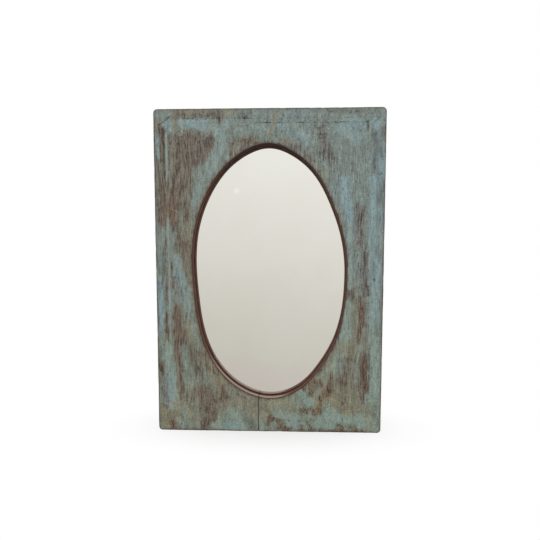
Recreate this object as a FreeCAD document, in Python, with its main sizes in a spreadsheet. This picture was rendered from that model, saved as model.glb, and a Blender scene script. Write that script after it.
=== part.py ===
import FreeCAD, Part
import math
import os
import Sketcher

# A hanging mirror: two thick old boards dowelled edge to edge, sawn through with an oval,
# with a mirror plate let into the back and a plywood panel screwed over it.
# Frame: X to the right, Y towards the wall, Z up. The origin is the middle of the panel's
# rear face, which lies against the wall. Lengths are in millimetres.

driving_sizes = {
    # Oval opening and the wood left round it
    "opening_width": 312.5,
    "opening_height": 514.5,
    "side_rail": 73.75,
    "end_rail": 70.25,
    "board_thickness": 26,
    "corner_radius": 8,
    "arris_radius": 2.5,
    "rim_radius": 1.5,
    # Joint between the two boards, left of the middle
    "seam_offset": 21.5,
    "seam_groove_width": 0.6,
    "seam_groove_depth": 1,
    "dowel_radius": 4,
    "dowel_length": 44,
    "dowel_bevel": 0.8,
    "dowel_clearance": 0.1,
    "dowel_end_gap": 1,
    # Border bead on the front, between two scribed lines
    "scribe_width": 1.8,
    "scribe_depth": 0.8,
    "scribe_left_inset": 20.5,
    "scribe_top_inset": 20,
    "scribe_right_inset": 27.5,
    "bead_width": 8.5,
    # Mirror plate, the packing behind it and the recess that holds both
    "mirror_thickness": 5,
    "mirror_arris": 0.5,
    "mirror_clearance": 2,
    "packing_thickness": 3,
    "recess_lap": 16.5,
    # Plywood panel over the recess
    "panel_thickness": 6,
    "panel_side_margin": 34,
    "panel_end_margin": 27.5,
    "panel_arris": 0.8,
    "panel_screw_length": 20,
    "panel_screw_point": 4,
    "panel_screw_radius": 1.75,
    "panel_screw_head_radius": 3.5,
    "panel_screw_rim": 0.3,
    "panel_screw_slot_width": 0.9,
    "panel_screw_slot_depth": 0.9,
    # Ring hangers beside the panel
    "hanger_drop": 112,
    "strap_width": 14,
    "strap_length": 40,
    "strap_thickness": 1.4,
    "strap_end_radius": 4,
    "ring_wire_radius": 1.3,
    "ring_eye_clearance": 0.3,
    "ring_width": 24,
    "ring_length": 22,
    "ring_corner_radius": 3.5,
    "hanger_screw_length": 16,
    "hanger_screw_point": 3,
    "hanger_screw_radius": 1.4,
    "hanger_screw_head_radius": 2.6,
    "hanger_screw_rim": 0.1,
    "hanger_screw_slot_width": 0.7,
    "hanger_screw_slot_depth": 0.6,
    # Fits
    "screw_clearance": 0.1,
    "screw_head_sink": 0.1,
    "cut_overrun": 2,
}

# The sawn oval, clockwise seen from behind: shares of half the opening's width and height
opening_shares = [
    (1.004, 0.01),
    (0.937, 0.33),
    (0.792, 0.576),
    (0.605, 0.782),
    (0.301, 0.947),
    (0.0, 1.008),
    (-0.302, 0.956),
    (-0.61, 0.804),
    (-0.814, 0.61),
    (-0.958, 0.351),
    (-0.995, 0.06),
    (-0.967, -0.181),
    (-0.926, -0.373),
    (-0.857, -0.544),
    (-0.697, -0.738),
    (-0.394, -0.917),
    (0.0, -0.996),
    (0.388, -0.924),
    (0.674, -0.738),
    (0.876, -0.513),
    (0.978, -0.263),
]
dowel_height_shares = (0.36, 0.72)
dowel_depth_share = 0.5
scribe_left_end_share = -0.2
scribe_right_end_share = 0.15
panel_screw_row_share = 0.36
panel_screw_side_shares = (-0.5, 0.0, 0.5)
hanger_screw_shares = (0.4, 0.78)

length_tolerance = 1e-4
volume_tolerance_share = 0.01
step_folder = "parts"

doc = FreeCAD.newDocument("HangingMirror")
sheet = doc.addObject("Spreadsheet::Sheet", "Sizes")
for row, (alias, value) in enumerate(driving_sizes.items(), start=1):
    sheet.set(f"A{row}", alias)
    sheet.set(f"B{row}", str(value))
    sheet.setAlias(f"B{row}", alias)
doc.recompute()

# Places worked out from the driving sizes
half_width = "(Sizes.opening_width / 2 + Sizes.side_rail)"
half_height = "(Sizes.opening_height / 2 + Sizes.end_rail)"
seam_x = "(-Sizes.seam_offset)"
back_depth = "Sizes.panel_thickness"
front_depth = "(Sizes.panel_thickness + Sizes.board_thickness)"
recess_depth = "(Sizes.mirror_thickness + Sizes.packing_thickness)"
lip_depth = f"(Sizes.board_thickness - {recess_depth})"
recess_half_width = "(Sizes.opening_width / 2 + Sizes.recess_lap)"
recess_half_height = "(Sizes.opening_height / 2 + Sizes.recess_lap)"
mirror_half_width = f"({recess_half_width} - Sizes.mirror_clearance)"
mirror_half_height = f"({recess_half_height} - Sizes.mirror_clearance)"
panel_half_width = f"({half_width} - Sizes.panel_side_margin)"
panel_half_height = f"({half_height} - Sizes.panel_end_margin)"
panel_screw_x = f"(({panel_half_width} + {recess_half_width}) / 2)"
panel_screw_z = f"(({panel_half_height} + {recess_half_height}) / 2)"
hanger_x = f"({half_width} - Sizes.panel_side_margin / 2)"
hanger_z = f"({half_height} - Sizes.hanger_drop)"
eye_inner_radius = "(Sizes.ring_wire_radius + Sizes.ring_eye_clearance)"
eye_outer_radius = f"({eye_inner_radius} + Sizes.strap_thickness)"


def number(expression):
    return float(sheet.evalExpression(expression))


def origin_plane(body, role):
    return next(item for item in body.Origin.OriginFeatures if item.Role == role)


def new_sketch(body, name, role, offset="0"):
    sketch = body.newObject("Sketcher::SketchObject", name)
    sketch.AttachmentSupport = (origin_plane(body, role), [""])
    sketch.MapMode = "FlatFace"
    sketch.setExpression("AttachmentOffset.Base.z", offset)
    return sketch


def bind_place(sketch, kind, geometry, point, expression):
    constraint = Sketcher.Constraint(kind, -1, 1, geometry, point, number(expression))
    index = sketch.addConstraint(constraint)
    sketch.setExpression(f"Constraints[{index}]", expression)


def add_polygon(sketch, corners):
    places = [FreeCAD.Vector(number(x), number(y), 0) for x, y in corners]
    lines = []
    for start, end in zip(places, places[1:] + places[:1]):
        lines.append(sketch.addGeometry(Part.LineSegment(start, end)))
    for line, following in zip(lines, lines[1:] + lines[:1]):
        sketch.addConstraint(Sketcher.Constraint("Coincident", line, 2, following, 1))
    for line, (x, y) in zip(lines, corners):
        bind_place(sketch, "DistanceX", line, 1, x)
        bind_place(sketch, "DistanceY", line, 1, y)


def add_rectangle(sketch, left, right, low, high):
    add_polygon(sketch, [(left, low), (right, low), (right, high), (left, high)])


def add_circle(sketch, x, y, radius):
    centre = FreeCAD.Vector(number(x), number(y), 0)
    upright = FreeCAD.Vector(0, 0, 1)
    circle = sketch.addGeometry(Part.Circle(centre, upright, number(radius)))
    bind_place(sketch, "DistanceX", circle, 3, x)
    bind_place(sketch, "DistanceY", circle, 3, y)
    index = sketch.addConstraint(Sketcher.Constraint("Radius", circle, number(radius)))
    sketch.setExpression(f"Constraints[{index}]", radius)


def add_pad(body, name, sketch, length):
    feature = body.newObject("PartDesign::Pad", name)
    feature.Profile = sketch
    feature.setExpression("Length", length)
    doc.recompute()
    return feature


def add_pocket(body, name, sketch, length, along_normal):
    before = body.Tip.Shape.Volume
    feature = body.newObject("PartDesign::Pocket", name)
    feature.Profile = sketch
    feature.setExpression("Length", length)
    feature.Reversed = along_normal
    doc.recompute()
    if not feature.Shape.Volume < before:
        raise RuntimeError(f"{name} cuts nothing")
    return feature


def add_revolution(body, name, sketch):
    feature = body.newObject("PartDesign::Revolution", name)
    feature.Profile = sketch
    feature.ReferenceAxis = (sketch, ["V_Axis"])
    feature.Angle = 360
    doc.recompute()
    return feature


def dress_edges(body, kind, name, sizing, wanted):
    base = body.Tip
    edges = []
    for index, edge in enumerate(base.Shape.Edges, start=1):
        if wanted(edge):
            edges.append(f"Edge{index}")
    feature = body.newObject(f"PartDesign::{kind}", name)
    feature.Base = (base, edges)
    feature.setExpression("Size" if kind == "Chamfer" else "Radius", sizing)
    doc.recompute()
    return feature


def place(item, x="0", y="0", z="0"):
    item.setExpression("Placement.Base.x", x)
    item.setExpression("Placement.Base.y", y)
    item.setExpression("Placement.Base.z", z)


def group(name, items):
    compound = doc.addObject("Part::Compound", name)
    compound.Links = items
    doc.recompute()
    return compound


def cut(name, base, tool):
    result = doc.addObject("Part::Cut", name)
    result.Base = base
    result.Tool = tool
    doc.recompute()
    if not result.Shape.Volume < base.Shape.Volume:
        raise RuntimeError(f"{name} has no holes")
    return result


def near(value, target):
    return abs(value - target) < length_tolerance


def lies_at(edge, axis, target):
    box = edge.BoundBox
    low = getattr(box, f"{axis}Min")
    high = getattr(box, f"{axis}Max")
    return near(low, target) and near(high, target)


# Screws: each has its head's flat at its own origin and points towards the front
def make_screw(name, kind):
    head = f"Sizes.{kind}_head_radius"
    shank = f"Sizes.{kind}_radius"
    length = f"Sizes.{kind}_length"
    rim = f"Sizes.{kind}_rim"
    body = doc.addObject("PartDesign::Body", name)
    profile = new_sketch(body, f"{name}_profile", "XY_Plane")
    corners = [
        ("0", "0"),
        (head, "0"),
        (head, f"-{rim}"),
        (shank, f"-{rim} - ({head} - {shank})"),
        (shank, f"-({length} - Sizes.{kind}_point)"),
        ("0", f"-{length}"),
    ]
    add_polygon(profile, corners)
    add_revolution(body, f"{name}_turned", profile)
    slot = new_sketch(body, f"{name}_slot", "XZ_Plane")
    half_slot = f"Sizes.{kind}_slot_width / 2"
    reach = f"({head} + Sizes.cut_overrun)"
    add_rectangle(slot, f"-{reach}", reach, f"-{half_slot}", half_slot)
    add_pocket(body, f"{name}_slot_cut", slot, f"Sizes.{kind}_slot_depth", True)
    return body


def make_bore(name, kind):
    clearance = "Sizes.screw_clearance"
    head = f"(Sizes.{kind}_head_radius + {clearance})"
    shank = f"(Sizes.{kind}_radius + {clearance})"
    length = f"(Sizes.{kind}_length + {clearance})"
    rim = f"Sizes.{kind}_rim"
    body = doc.addObject("PartDesign::Body", name)
    profile = new_sketch(body, f"{name}_profile", "XY_Plane")
    corners = [
        ("0", "Sizes.cut_overrun"),
        (head, "Sizes.cut_overrun"),
        (head, f"-{rim}"),
        (shank, f"-{rim} - ({head} - {shank})"),
        (shank, f"-{length}"),
        ("0", f"-{length}"),
    ]
    add_polygon(profile, corners)
    add_revolution(body, f"{name}_turned", profile)
    return body


def repeat(name, pattern, places):
    copies = []
    for index, (x, y, z) in enumerate(places, start=1):
        copy = doc.addObject("App::Link", f"{name}_{index}")
        copy.LinkedObject = pattern
        copy.LinkTransform = False
        place(copy, x, y, z)
        copies.append(copy)
    return group(name, copies)


def panel_screw_places():
    depth = "-Sizes.screw_head_sink"
    places = []
    for sign in ("-", ""):
        row_z = f"{sign}{panel_screw_z}"
        for share in (-1, -panel_screw_row_share, panel_screw_row_share, 1):
            places.append((f"{share} * {panel_screw_x}", depth, row_z))
        for share in panel_screw_side_shares:
            places.append((f"{sign}{panel_screw_x}", depth, f"{share} * {panel_screw_z}"))
    return places


def hanger_screw_places(sign):
    depth = "-Sizes.panel_thickness + Sizes.strap_thickness - Sizes.screw_head_sink"
    places = []
    for share in hanger_screw_shares:
        height = f"{hanger_z} - {share} * Sizes.strap_length"
        places.append((f"{sign}{hanger_x}", depth, height))
    return places


# Dowels across the joint, buried in the lip in front of the mirror
def make_dowel(name, height, radius, length, bevel):
    body = doc.addObject("PartDesign::Body", name)
    circle = new_sketch(body, f"{name}_section", "YZ_Plane", f"-{length} / 2")
    add_circle(circle, "0", "0", radius)
    add_pad(body, f"{name}_length", circle, length)
    if bevel:
        dress_edges(body, "Chamfer", f"{name}_bevel", bevel, lambda edge: near(
            edge.BoundBox.XMin, edge.BoundBox.XMax))
    depth = f"-({front_depth} - {dowel_depth_share} * {lip_depth})"
    place(body, seam_x, depth, height)
    return body


def make_dowels(name, sign):
    dowels = []
    bores = []
    bore_radius = "(Sizes.dowel_radius + Sizes.dowel_clearance)"
    bore_length = "(Sizes.dowel_length + 2 * Sizes.dowel_end_gap)"
    for index, share in enumerate(dowel_height_shares, start=1):
        height = f"{sign}(Sizes.opening_height / 2 + {share} * Sizes.end_rail)"
        dowel = make_dowel(
            f"{name}_{index}", height, "Sizes.dowel_radius", "Sizes.dowel_length", "Sizes.dowel_bevel"
        )
        dowels.append(dowel)
        bores.append(make_dowel(f"{name}_bore_{index}", height, bore_radius, bore_length, None))
    return group(name, dowels), bores


# Boards: the oval is sawn through both, and the recess is routed from behind
def opening_curve():
    half_opening_width = number("Sizes.opening_width / 2")
    half_opening_height = number("Sizes.opening_height / 2")
    points = []
    for x_share, z_share in opening_shares:
        points.append(FreeCAD.Vector(x_share * half_opening_width, z_share * half_opening_height, 0))
    curve = Part.BSplineCurve()
    curve.interpolate(Points=points, PeriodicFlag=True)
    return curve


def make_board(name, outer_x, scribe_inset, scribe_end):
    body = doc.addObject("PartDesign::Body", f"{name}_blank")
    outline = new_sketch(body, f"{name}_outline", "XZ_Plane", back_depth)
    add_rectangle(outline, outer_x, seam_x, f"-{half_height}", half_height)
    add_pad(body, f"{name}_plank", outline, "Sizes.board_thickness")

    outer = number(outer_x)
    seam = number(seam_x)
    front = -number(front_depth)
    dress_edges(body, "Fillet", f"{name}_corners", "Sizes.corner_radius", lambda edge: (
        lies_at(edge, "X", outer) and near(edge.BoundBox.ZMin, edge.BoundBox.ZMax)))

    oval = new_sketch(body, f"{name}_oval", "XZ_Plane", back_depth)
    oval.addGeometry(opening_curve())
    add_pocket(body, f"{name}_opening", oval, "Sizes.board_thickness + Sizes.cut_overrun", True)
    recess = new_sketch(body, f"{name}_recess_outline", "XZ_Plane", back_depth)
    add_rectangle(
        recess, f"-{recess_half_width}", recess_half_width, f"-{recess_half_height}", recess_half_height
    )
    add_pocket(body, f"{name}_recess", recess, recess_depth, True)

    def on_front(edge):
        return lies_at(edge, "Y", front) and not lies_at(edge, "X", seam)

    def is_oval(edge):
        return isinstance(edge.Curve, Part.BSplineCurve)

    dress_edges(body, "Fillet", f"{name}_arris", "Sizes.arris_radius",
                lambda edge: on_front(edge) and not is_oval(edge))
    dress_edges(body, "Fillet", f"{name}_rim", "Sizes.rim_radius",
                lambda edge: on_front(edge) and is_oval(edge))

    groove = new_sketch(body, f"{name}_seam_outline", "XZ_Plane", front_depth)
    reach = f"({half_height} + Sizes.cut_overrun)"
    add_rectangle(groove, f"{seam_x} - Sizes.seam_groove_width", f"{seam_x} + Sizes.seam_groove_width",
                  f"-{reach}", reach)
    add_pocket(body, f"{name}_seam_groove", groove, "Sizes.seam_groove_depth", False)

    half_scribe = "Sizes.scribe_width / 2"
    away, towards = ("-", "+") if outer < seam else ("+", "-")
    past_seam = f"{seam_x} {towards} Sizes.cut_overrun"
    low_end = f"{scribe_end} * 2 * {half_height}"
    for line, step in (("outer_line", "0"), ("inner_line", "Sizes.bead_width")):
        middle_x = f"{outer_x} {towards} ({scribe_inset} + {step})"
        middle_z = f"({half_height} - Sizes.scribe_top_inset - {step})"
        corners = [
            (f"{middle_x} {away} {half_scribe}", low_end),
            (f"{middle_x} {towards} {half_scribe}", low_end),
            (f"{middle_x} {towards} {half_scribe}", f"{middle_z} - {half_scribe}"),
            (past_seam, f"{middle_z} - {half_scribe}"),
            (past_seam, f"{middle_z} + {half_scribe}"),
            (f"{middle_x} {away} {half_scribe}", f"{middle_z} + {half_scribe}"),
        ]
        outline = new_sketch(body, f"{name}_{line}", "XZ_Plane", front_depth)
        add_polygon(outline, corners)
        add_pocket(body, f"{name}_{line}_scribe", outline, "Sizes.scribe_depth", False)
    return body


# Flat pieces stacked behind the opening
def make_mirror():
    body = doc.addObject("PartDesign::Body", "mirror_plate")
    outline = new_sketch(body, "mirror_outline", "XZ_Plane", f"{back_depth} + Sizes.packing_thickness")
    add_rectangle(
        outline, f"-{mirror_half_width}", mirror_half_width, f"-{mirror_half_height}", mirror_half_height
    )
    add_pad(body, "mirror_sheet", outline, "Sizes.mirror_thickness")
    dress_edges(body, "Chamfer", "mirror_seamed_edges", "Sizes.mirror_arris", lambda edge: near(
        edge.BoundBox.YMin, edge.BoundBox.YMax))
    return body


def make_packing():
    sheet_box = doc.addObject("Part::Box", "packing_sheet")
    sheet_box.setExpression("Length", f"2 * {mirror_half_width}")
    sheet_box.setExpression("Width", "Sizes.packing_thickness")
    sheet_box.setExpression("Height", f"2 * {mirror_half_height}")
    place(sheet_box, f"-{mirror_half_width}", f"-({back_depth} + Sizes.packing_thickness)",
          f"-{mirror_half_height}")
    return sheet_box


def make_panel():
    body = doc.addObject("PartDesign::Body", "back_panel_blank")
    outline = new_sketch(body, "panel_outline", "XZ_Plane")
    add_rectangle(
        outline, f"-{panel_half_width}", panel_half_width, f"-{panel_half_height}", panel_half_height
    )
    add_pad(body, "panel_sheet", outline, "Sizes.panel_thickness")
    dress_edges(body, "Chamfer", "panel_rear_arris", "Sizes.panel_arris",
                lambda edge: lies_at(edge, "Y", 0))
    return body


# Ring hangers: a strap with a rolled eye, and a D ring that swings in the eye
def make_strap(name, x):
    body = doc.addObject("PartDesign::Body", f"{name}_blank")
    side = new_sketch(body, f"{name}_side", "YZ_Plane", "-Sizes.strap_width / 2")
    add_rectangle(side, "0", "Sizes.strap_thickness", "-Sizes.strap_length", "0")
    add_pad(body, f"{name}_leaf", side, "Sizes.strap_width")
    low = -number("Sizes.strap_length")
    dress_edges(body, "Fillet", f"{name}_end", "Sizes.strap_end_radius", lambda edge: (
        lies_at(edge, "Z", low) and near(edge.BoundBox.XMin, edge.BoundBox.XMax)))
    eye = new_sketch(body, f"{name}_eye_outline", "YZ_Plane", "-Sizes.strap_width / 2")
    add_circle(eye, eye_outer_radius, "0", eye_outer_radius)
    add_pad(body, f"{name}_eye", eye, "Sizes.strap_width")
    hole = new_sketch(body, f"{name}_eye_bore", "YZ_Plane", "-Sizes.strap_width / 2")
    add_circle(hole, eye_outer_radius, "0", eye_inner_radius)
    add_pocket(body, f"{name}_bore", hole, "Sizes.strap_width", True)
    place(body, x, "-Sizes.panel_thickness", hanger_z)
    return body


def make_ring(name, x):
    wire_radius = number("Sizes.ring_wire_radius")
    half = number("Sizes.ring_width") / 2
    corner = number("Sizes.ring_corner_radius")
    arch_z = half - number("Sizes.ring_length")
    diagonal = corner * math.sqrt(0.5)

    def spot(along, height):
        return FreeCAD.Vector(along, 0, height)

    edges = [
        Part.LineSegment(spot(0, 0), spot(half - corner, 0)),
        Part.Arc(spot(half - corner, 0), spot(half - corner + diagonal, diagonal - corner), spot(half, -corner)),
        Part.LineSegment(spot(half, -corner), spot(half, arch_z)),
        Part.Arc(spot(half, arch_z), spot(0, arch_z - half), spot(-half, arch_z)),
        Part.LineSegment(spot(-half, arch_z), spot(-half, -corner)),
        Part.Arc(spot(-half, -corner), spot(corner - half - diagonal, diagonal - corner), spot(corner - half, 0)),
        Part.LineSegment(spot(corner - half, 0), spot(0, 0)),
    ]
    path = Part.Wire([edge.toShape() for edge in edges])
    section = Part.Wire(Part.makeCircle(wire_radius, spot(0, 0), FreeCAD.Vector(1, 0, 0)))
    solid = path.makePipeShell([section], True, False)
    expected = math.pi * wire_radius ** 2 * path.Length
    if abs(solid.Volume - expected) > volume_tolerance_share * expected:
        raise RuntimeError(f"{name} has volume {solid.Volume}, not {expected}")
    ring = doc.addObject("Part::Feature", name)
    ring.Shape = solid
    pivot_y = number(f"{eye_outer_radius} - Sizes.panel_thickness")
    ring.Placement = FreeCAD.Placement(
        FreeCAD.Vector(number(x), pivot_y, number(hanger_z)), FreeCAD.Rotation()
    )
    return ring


top_dowels, top_bores = make_dowels("top_dowels", "")
bottom_dowels, bottom_bores = make_dowels("bottom_dowels", "-")

panel_screw = make_screw("panel_screw", "panel_screw")
panel_bore = make_bore("panel_screw_bore", "panel_screw")
panel_screws = repeat("back_panel_screws", panel_screw, panel_screw_places())
panel_bores = repeat("panel_screw_bores", panel_bore, panel_screw_places())

hanger_screw = make_screw("hanger_screw", "hanger_screw")
hanger_bore = make_bore("hanger_screw_bore", "hanger_screw")

pieces = [top_dowels, bottom_dowels, panel_screws, make_mirror(), make_packing()]
pieces.append(cut("back_panel", make_panel(), panel_bores))

sides = (
    ("left", "-", "Sizes.scribe_left_inset", scribe_left_end_share),
    ("right", "", "Sizes.scribe_right_inset", scribe_right_end_share),
)
for side, sign, scribe_inset, scribe_end in sides:
    screws = repeat(f"{side}_hanger_screws", hanger_screw, hanger_screw_places(sign))
    bores = repeat(f"{side}_hanger_screw_bores", hanger_bore, hanger_screw_places(sign))
    strap = cut(f"{side}_hanger_strap", make_strap(f"{side}_strap", f"{sign}{hanger_x}"), bores)
    ring = make_ring(f"{side}_hanger_ring", f"{sign}{hanger_x}")
    blank = make_board(f"{side}_board", f"{sign}{half_width}", scribe_inset, scribe_end)
    holes = group(f"{side}_board_holes", [panel_bores, bores] + top_bores + bottom_bores)
    board = cut(f"{side}_board", blank, holes)
    pieces.extend([board, strap, ring, screws])

doc.recompute()
for item in doc.Objects:
    if "Invalid" in item.State or "Error" in item.State:
        raise RuntimeError(f"{item.Label} failed: {item.State}")
for piece in pieces:
    if piece.Shape.isNull() or not piece.Shape.isValid():
        raise RuntimeError(f"{piece.Label} has no valid shape")

os.makedirs(step_folder, exist_ok=True)
for piece in pieces:
    piece.Shape.exportStep(os.path.join(step_folder, f"{piece.Label}.step"))
    print(piece.Label, len(piece.Shape.Solids), "solids", round(piece.Shape.Volume, 1), "mm3")
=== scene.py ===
import math
import random

import bmesh
import bpy
import numpy as np
from mathutils import Matrix, Vector, geometry, noise
from mathutils.bvhtree import BVHTree


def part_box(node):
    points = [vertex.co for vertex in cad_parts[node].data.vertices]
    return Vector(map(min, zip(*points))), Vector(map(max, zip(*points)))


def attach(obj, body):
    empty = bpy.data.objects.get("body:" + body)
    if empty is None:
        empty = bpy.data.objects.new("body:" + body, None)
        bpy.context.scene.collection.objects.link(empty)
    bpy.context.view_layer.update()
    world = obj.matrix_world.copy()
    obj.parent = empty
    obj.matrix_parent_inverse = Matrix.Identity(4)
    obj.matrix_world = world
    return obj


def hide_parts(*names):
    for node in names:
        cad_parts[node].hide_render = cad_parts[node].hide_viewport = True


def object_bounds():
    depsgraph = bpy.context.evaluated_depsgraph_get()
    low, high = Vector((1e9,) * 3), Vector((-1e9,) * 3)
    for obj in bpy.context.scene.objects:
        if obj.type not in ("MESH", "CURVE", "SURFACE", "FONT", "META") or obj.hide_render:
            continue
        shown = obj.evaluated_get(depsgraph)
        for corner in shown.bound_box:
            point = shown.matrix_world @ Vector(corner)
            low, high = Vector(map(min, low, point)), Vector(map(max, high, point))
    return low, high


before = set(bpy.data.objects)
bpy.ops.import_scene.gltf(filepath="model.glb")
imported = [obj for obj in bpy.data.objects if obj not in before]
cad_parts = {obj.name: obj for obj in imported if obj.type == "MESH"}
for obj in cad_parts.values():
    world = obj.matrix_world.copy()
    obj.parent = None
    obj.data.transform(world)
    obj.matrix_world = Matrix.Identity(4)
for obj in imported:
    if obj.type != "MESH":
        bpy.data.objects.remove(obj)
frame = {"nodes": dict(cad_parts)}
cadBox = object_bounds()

mm = 0.001
white = (1.0, 1.0, 1.0, 1.0)
nodes = frame["nodes"]
scene = bpy.context.scene
scene.view_settings.view_transform = "Standard"


# one colour as it looks on screen, "7e9a9c", turned into the values a shader takes
def tone(code):
    channels = [int(code[i:i + 2], 16) / 255 for i in (0, 2, 4)]
    linear = [c / 12.92 if c <= 0.04045 else ((c + 0.055) / 1.055) ** 2.4 for c in channels]
    return (*linear, 1.0)


class Wire:
    # a socket that can be added and multiplied like a number
    def __init__(self, nodes, socket):
        self.nodes = nodes
        self.socket = socket

    def __add__(self, other):
        return self.nodes.maths("ADD", self, other)

    def __radd__(self, other):
        return self.nodes.maths("ADD", other, self)

    def __sub__(self, other):
        return self.nodes.maths("SUBTRACT", self, other)

    def __rsub__(self, other):
        return self.nodes.maths("SUBTRACT", other, self)

    def __mul__(self, other):
        return self.nodes.maths("MULTIPLY", self, other)

    def __rmul__(self, other):
        return self.nodes.maths("MULTIPLY", other, self)

    def __truediv__(self, other):
        return self.nodes.maths("DIVIDE", self, other)

    def __rtruediv__(self, other):
        return self.nodes.maths("DIVIDE", other, self)

    def atMost(self, other):
        return self.nodes.maths("MINIMUM", self, other)

    def atLeast(self, other):
        return self.nodes.maths("MAXIMUM", self, other)


class Nodes:
    # a tree whose nodes are each made in one call: settings, what goes in, and the output to go on with
    def __init__(self, tree):
        self.tree = tree

    def node(self, kind, settings=None, sockets=None, output=0):
        made = self.tree.nodes.new(kind)
        for name, value in (settings or {}).items():
            if name == "stops":
                ramp = made.color_ramp.elements
                while len(ramp) < len(value):
                    ramp.new(0.5)
                for stop, (place, colour) in zip(ramp, value):
                    stop.position = place
                    stop.color = colour
            else:
                setattr(made, name, value)
        for name, value in (sockets or {}).items():
            for each in value if isinstance(value, list) else [value]:
                if isinstance(each, Wire):
                    self.tree.links.new(each.socket, made.inputs[name])
                else:
                    made.inputs[name].default_value = each
        return Wire(self, made.outputs[output]) if made.outputs else None

    def maths(self, operation, first, second=0.0):
        return self.node("ShaderNodeMath", {"operation": operation}, {0: first, 1: second})

    def axis(self, where, name):
        return self.node("ShaderNodeSeparateXYZ", {}, {0: where}, output=name)


class Finish(Nodes):
    # one material or the world, and the nodes that colour it
    def __init__(self, owner):
        owner.use_nodes = True
        super().__init__(owner.node_tree)
        self.owner = owner
        self.tree.nodes.clear()

    def place(self, stretch=(1, 1, 1), turn=(0, 0, 0), where=None):
        own = where or self.node("ShaderNodeTexCoord", output="Object")
        return self.node("ShaderNodeMapping", {}, {"Vector": own, "Scale": stretch, "Rotation": turn})

    # pushes a pattern sideways a little, so that its streaks lean this way and that
    def swayed(self, where, amount, scale):
        aside = self.node("ShaderNodeCombineXYZ", {}, {"X": amount * (self.cloud(where, scale, 2) - 0.5)})
        return self.node("ShaderNodeVectorMath", {"operation": "ADD"}, {0: where, 1: aside})

    def cloud(self, where, scale, detail=3.0, rough=0.55, bend=0.0):
        return self.node("ShaderNodeTexNoise", {}, {
            "Vector": where, "Scale": scale, "Detail": detail, "Roughness": rough, "Distortion": bend})

    def fade(self, value, low, high):
        return self.node("ShaderNodeMapRange", {"interpolation_type": "SMOOTHSTEP"}, {
            "Value": value, "From Min": low, "From Max": high})

    def mix(self, share, first, second):
        return self.node("ShaderNodeMix", {"data_type": "RGBA"}, {0: share, 6: first, 7: second}, output=2)

    # from the first colour of a pair to the second
    def between(self, share, pair):
        return self.mix(share, tone(pair[0]), tone(pair[1]))

    def measured(self, name):
        return self.node("ShaderNodeAttribute", {"attribute_name": name}, output="Fac")

    def bump(self, height, strength, distance):
        return self.node("ShaderNodeBump", {}, {
            "Height": height, "Strength": strength, "Distance": distance})

    def surface(self, sockets):
        shade = self.node("ShaderNodeBsdfPrincipled", {}, sockets)
        self.node("ShaderNodeOutputMaterial", {}, {"Surface": shade})
        return self.owner


class Steps(Nodes):
    # a geometry tree: what goes in, its named sizes, and the steps that make a mesh from them
    def __init__(self, name):
        super().__init__(bpy.data.node_groups.new(name, "GeometryNodeTree"))
        self.sizes = {}
        self.tree.interface.new_socket("Made", in_out="OUTPUT", socket_type="NodeSocketGeometry")
        self.start = self.size("Start", "NodeSocketGeometry")

    def size(self, name, kind="NodeSocketFloat"):
        self.sizes[name] = self.tree.interface.new_socket(name, in_out="INPUT", socket_type=kind).identifier
        return self.node("NodeGroupInput", output=name)

    def done(self, made, material):
        whole = self.node("GeometryNodeRealizeInstances", {}, {0: made})
        dressed = self.node("GeometryNodeSetMaterial", {}, {0: whole, "Material": material})
        self.node("NodeGroupOutput", {}, {0: dressed})

    # runs the steps on some points or a path, and leaves a plain mesh
    def make(self, name, start, values):
        piece = newPiece(name, start)
        steps = piece.modifiers.new("steps", "NODES")
        steps.node_group = self.tree
        for size, value in values.items():
            steps[self.sizes[size]] = value
        graph = bpy.context.evaluated_depsgraph_get()
        mesh = bpy.data.meshes.new_from_object(piece.evaluated_get(graph), depsgraph=graph)
        piece.modifiers.clear()
        piece.data = mesh
        mesh.name = name
        soften(mesh)
        return piece


def newFinish(name):
    return Finish(bpy.data.materials.new(name))


def newPiece(name, data):
    piece = bpy.data.objects.new(name, data)
    scene.collection.objects.link(piece)
    return piece


def shellPiece(shell, name):
    mesh = bpy.data.meshes.new(name)
    shell.to_mesh(mesh)
    shell.free()
    return newPiece(name, mesh)


# smooth shading, with a break at every edge that turns by more than some degrees
def soften(mesh, sharpFrom=38):
    mesh.polygons.foreach_set("use_smooth", [True] * len(mesh.polygons))
    mesh.set_sharp_from_angle(angle=math.radians(sharpFrom))


def dress(piece, material):
    piece.data.materials.clear()
    piece.data.materials.append(material)


# slow random waves over the front, between -1 and 1
def drift(x, z, sizeX, sizeZ, seed):
    return np.array([noise.noise((a / sizeX, b / sizeZ, seed)) for a, b in zip(x, z)])


def smooth(value, low, high):
    t = np.clip((value - low) / (high - low), 0, 1)
    return t * t * (3 - 2 * t)


# 1 beside something and 0 away from it; reach says where that begins and where it is full
def near(away, reach):
    begins, full = reach
    return smooth(-away, -begins, -full)


# cosine and sine for each step of a bend, after its first point
def bend(first, last, count):
    turns = [math.radians(turn) for turn in np.linspace(first, last, count)[1:]]
    return [(math.cos(turn), math.sin(turn)) for turn in turns]


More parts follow.
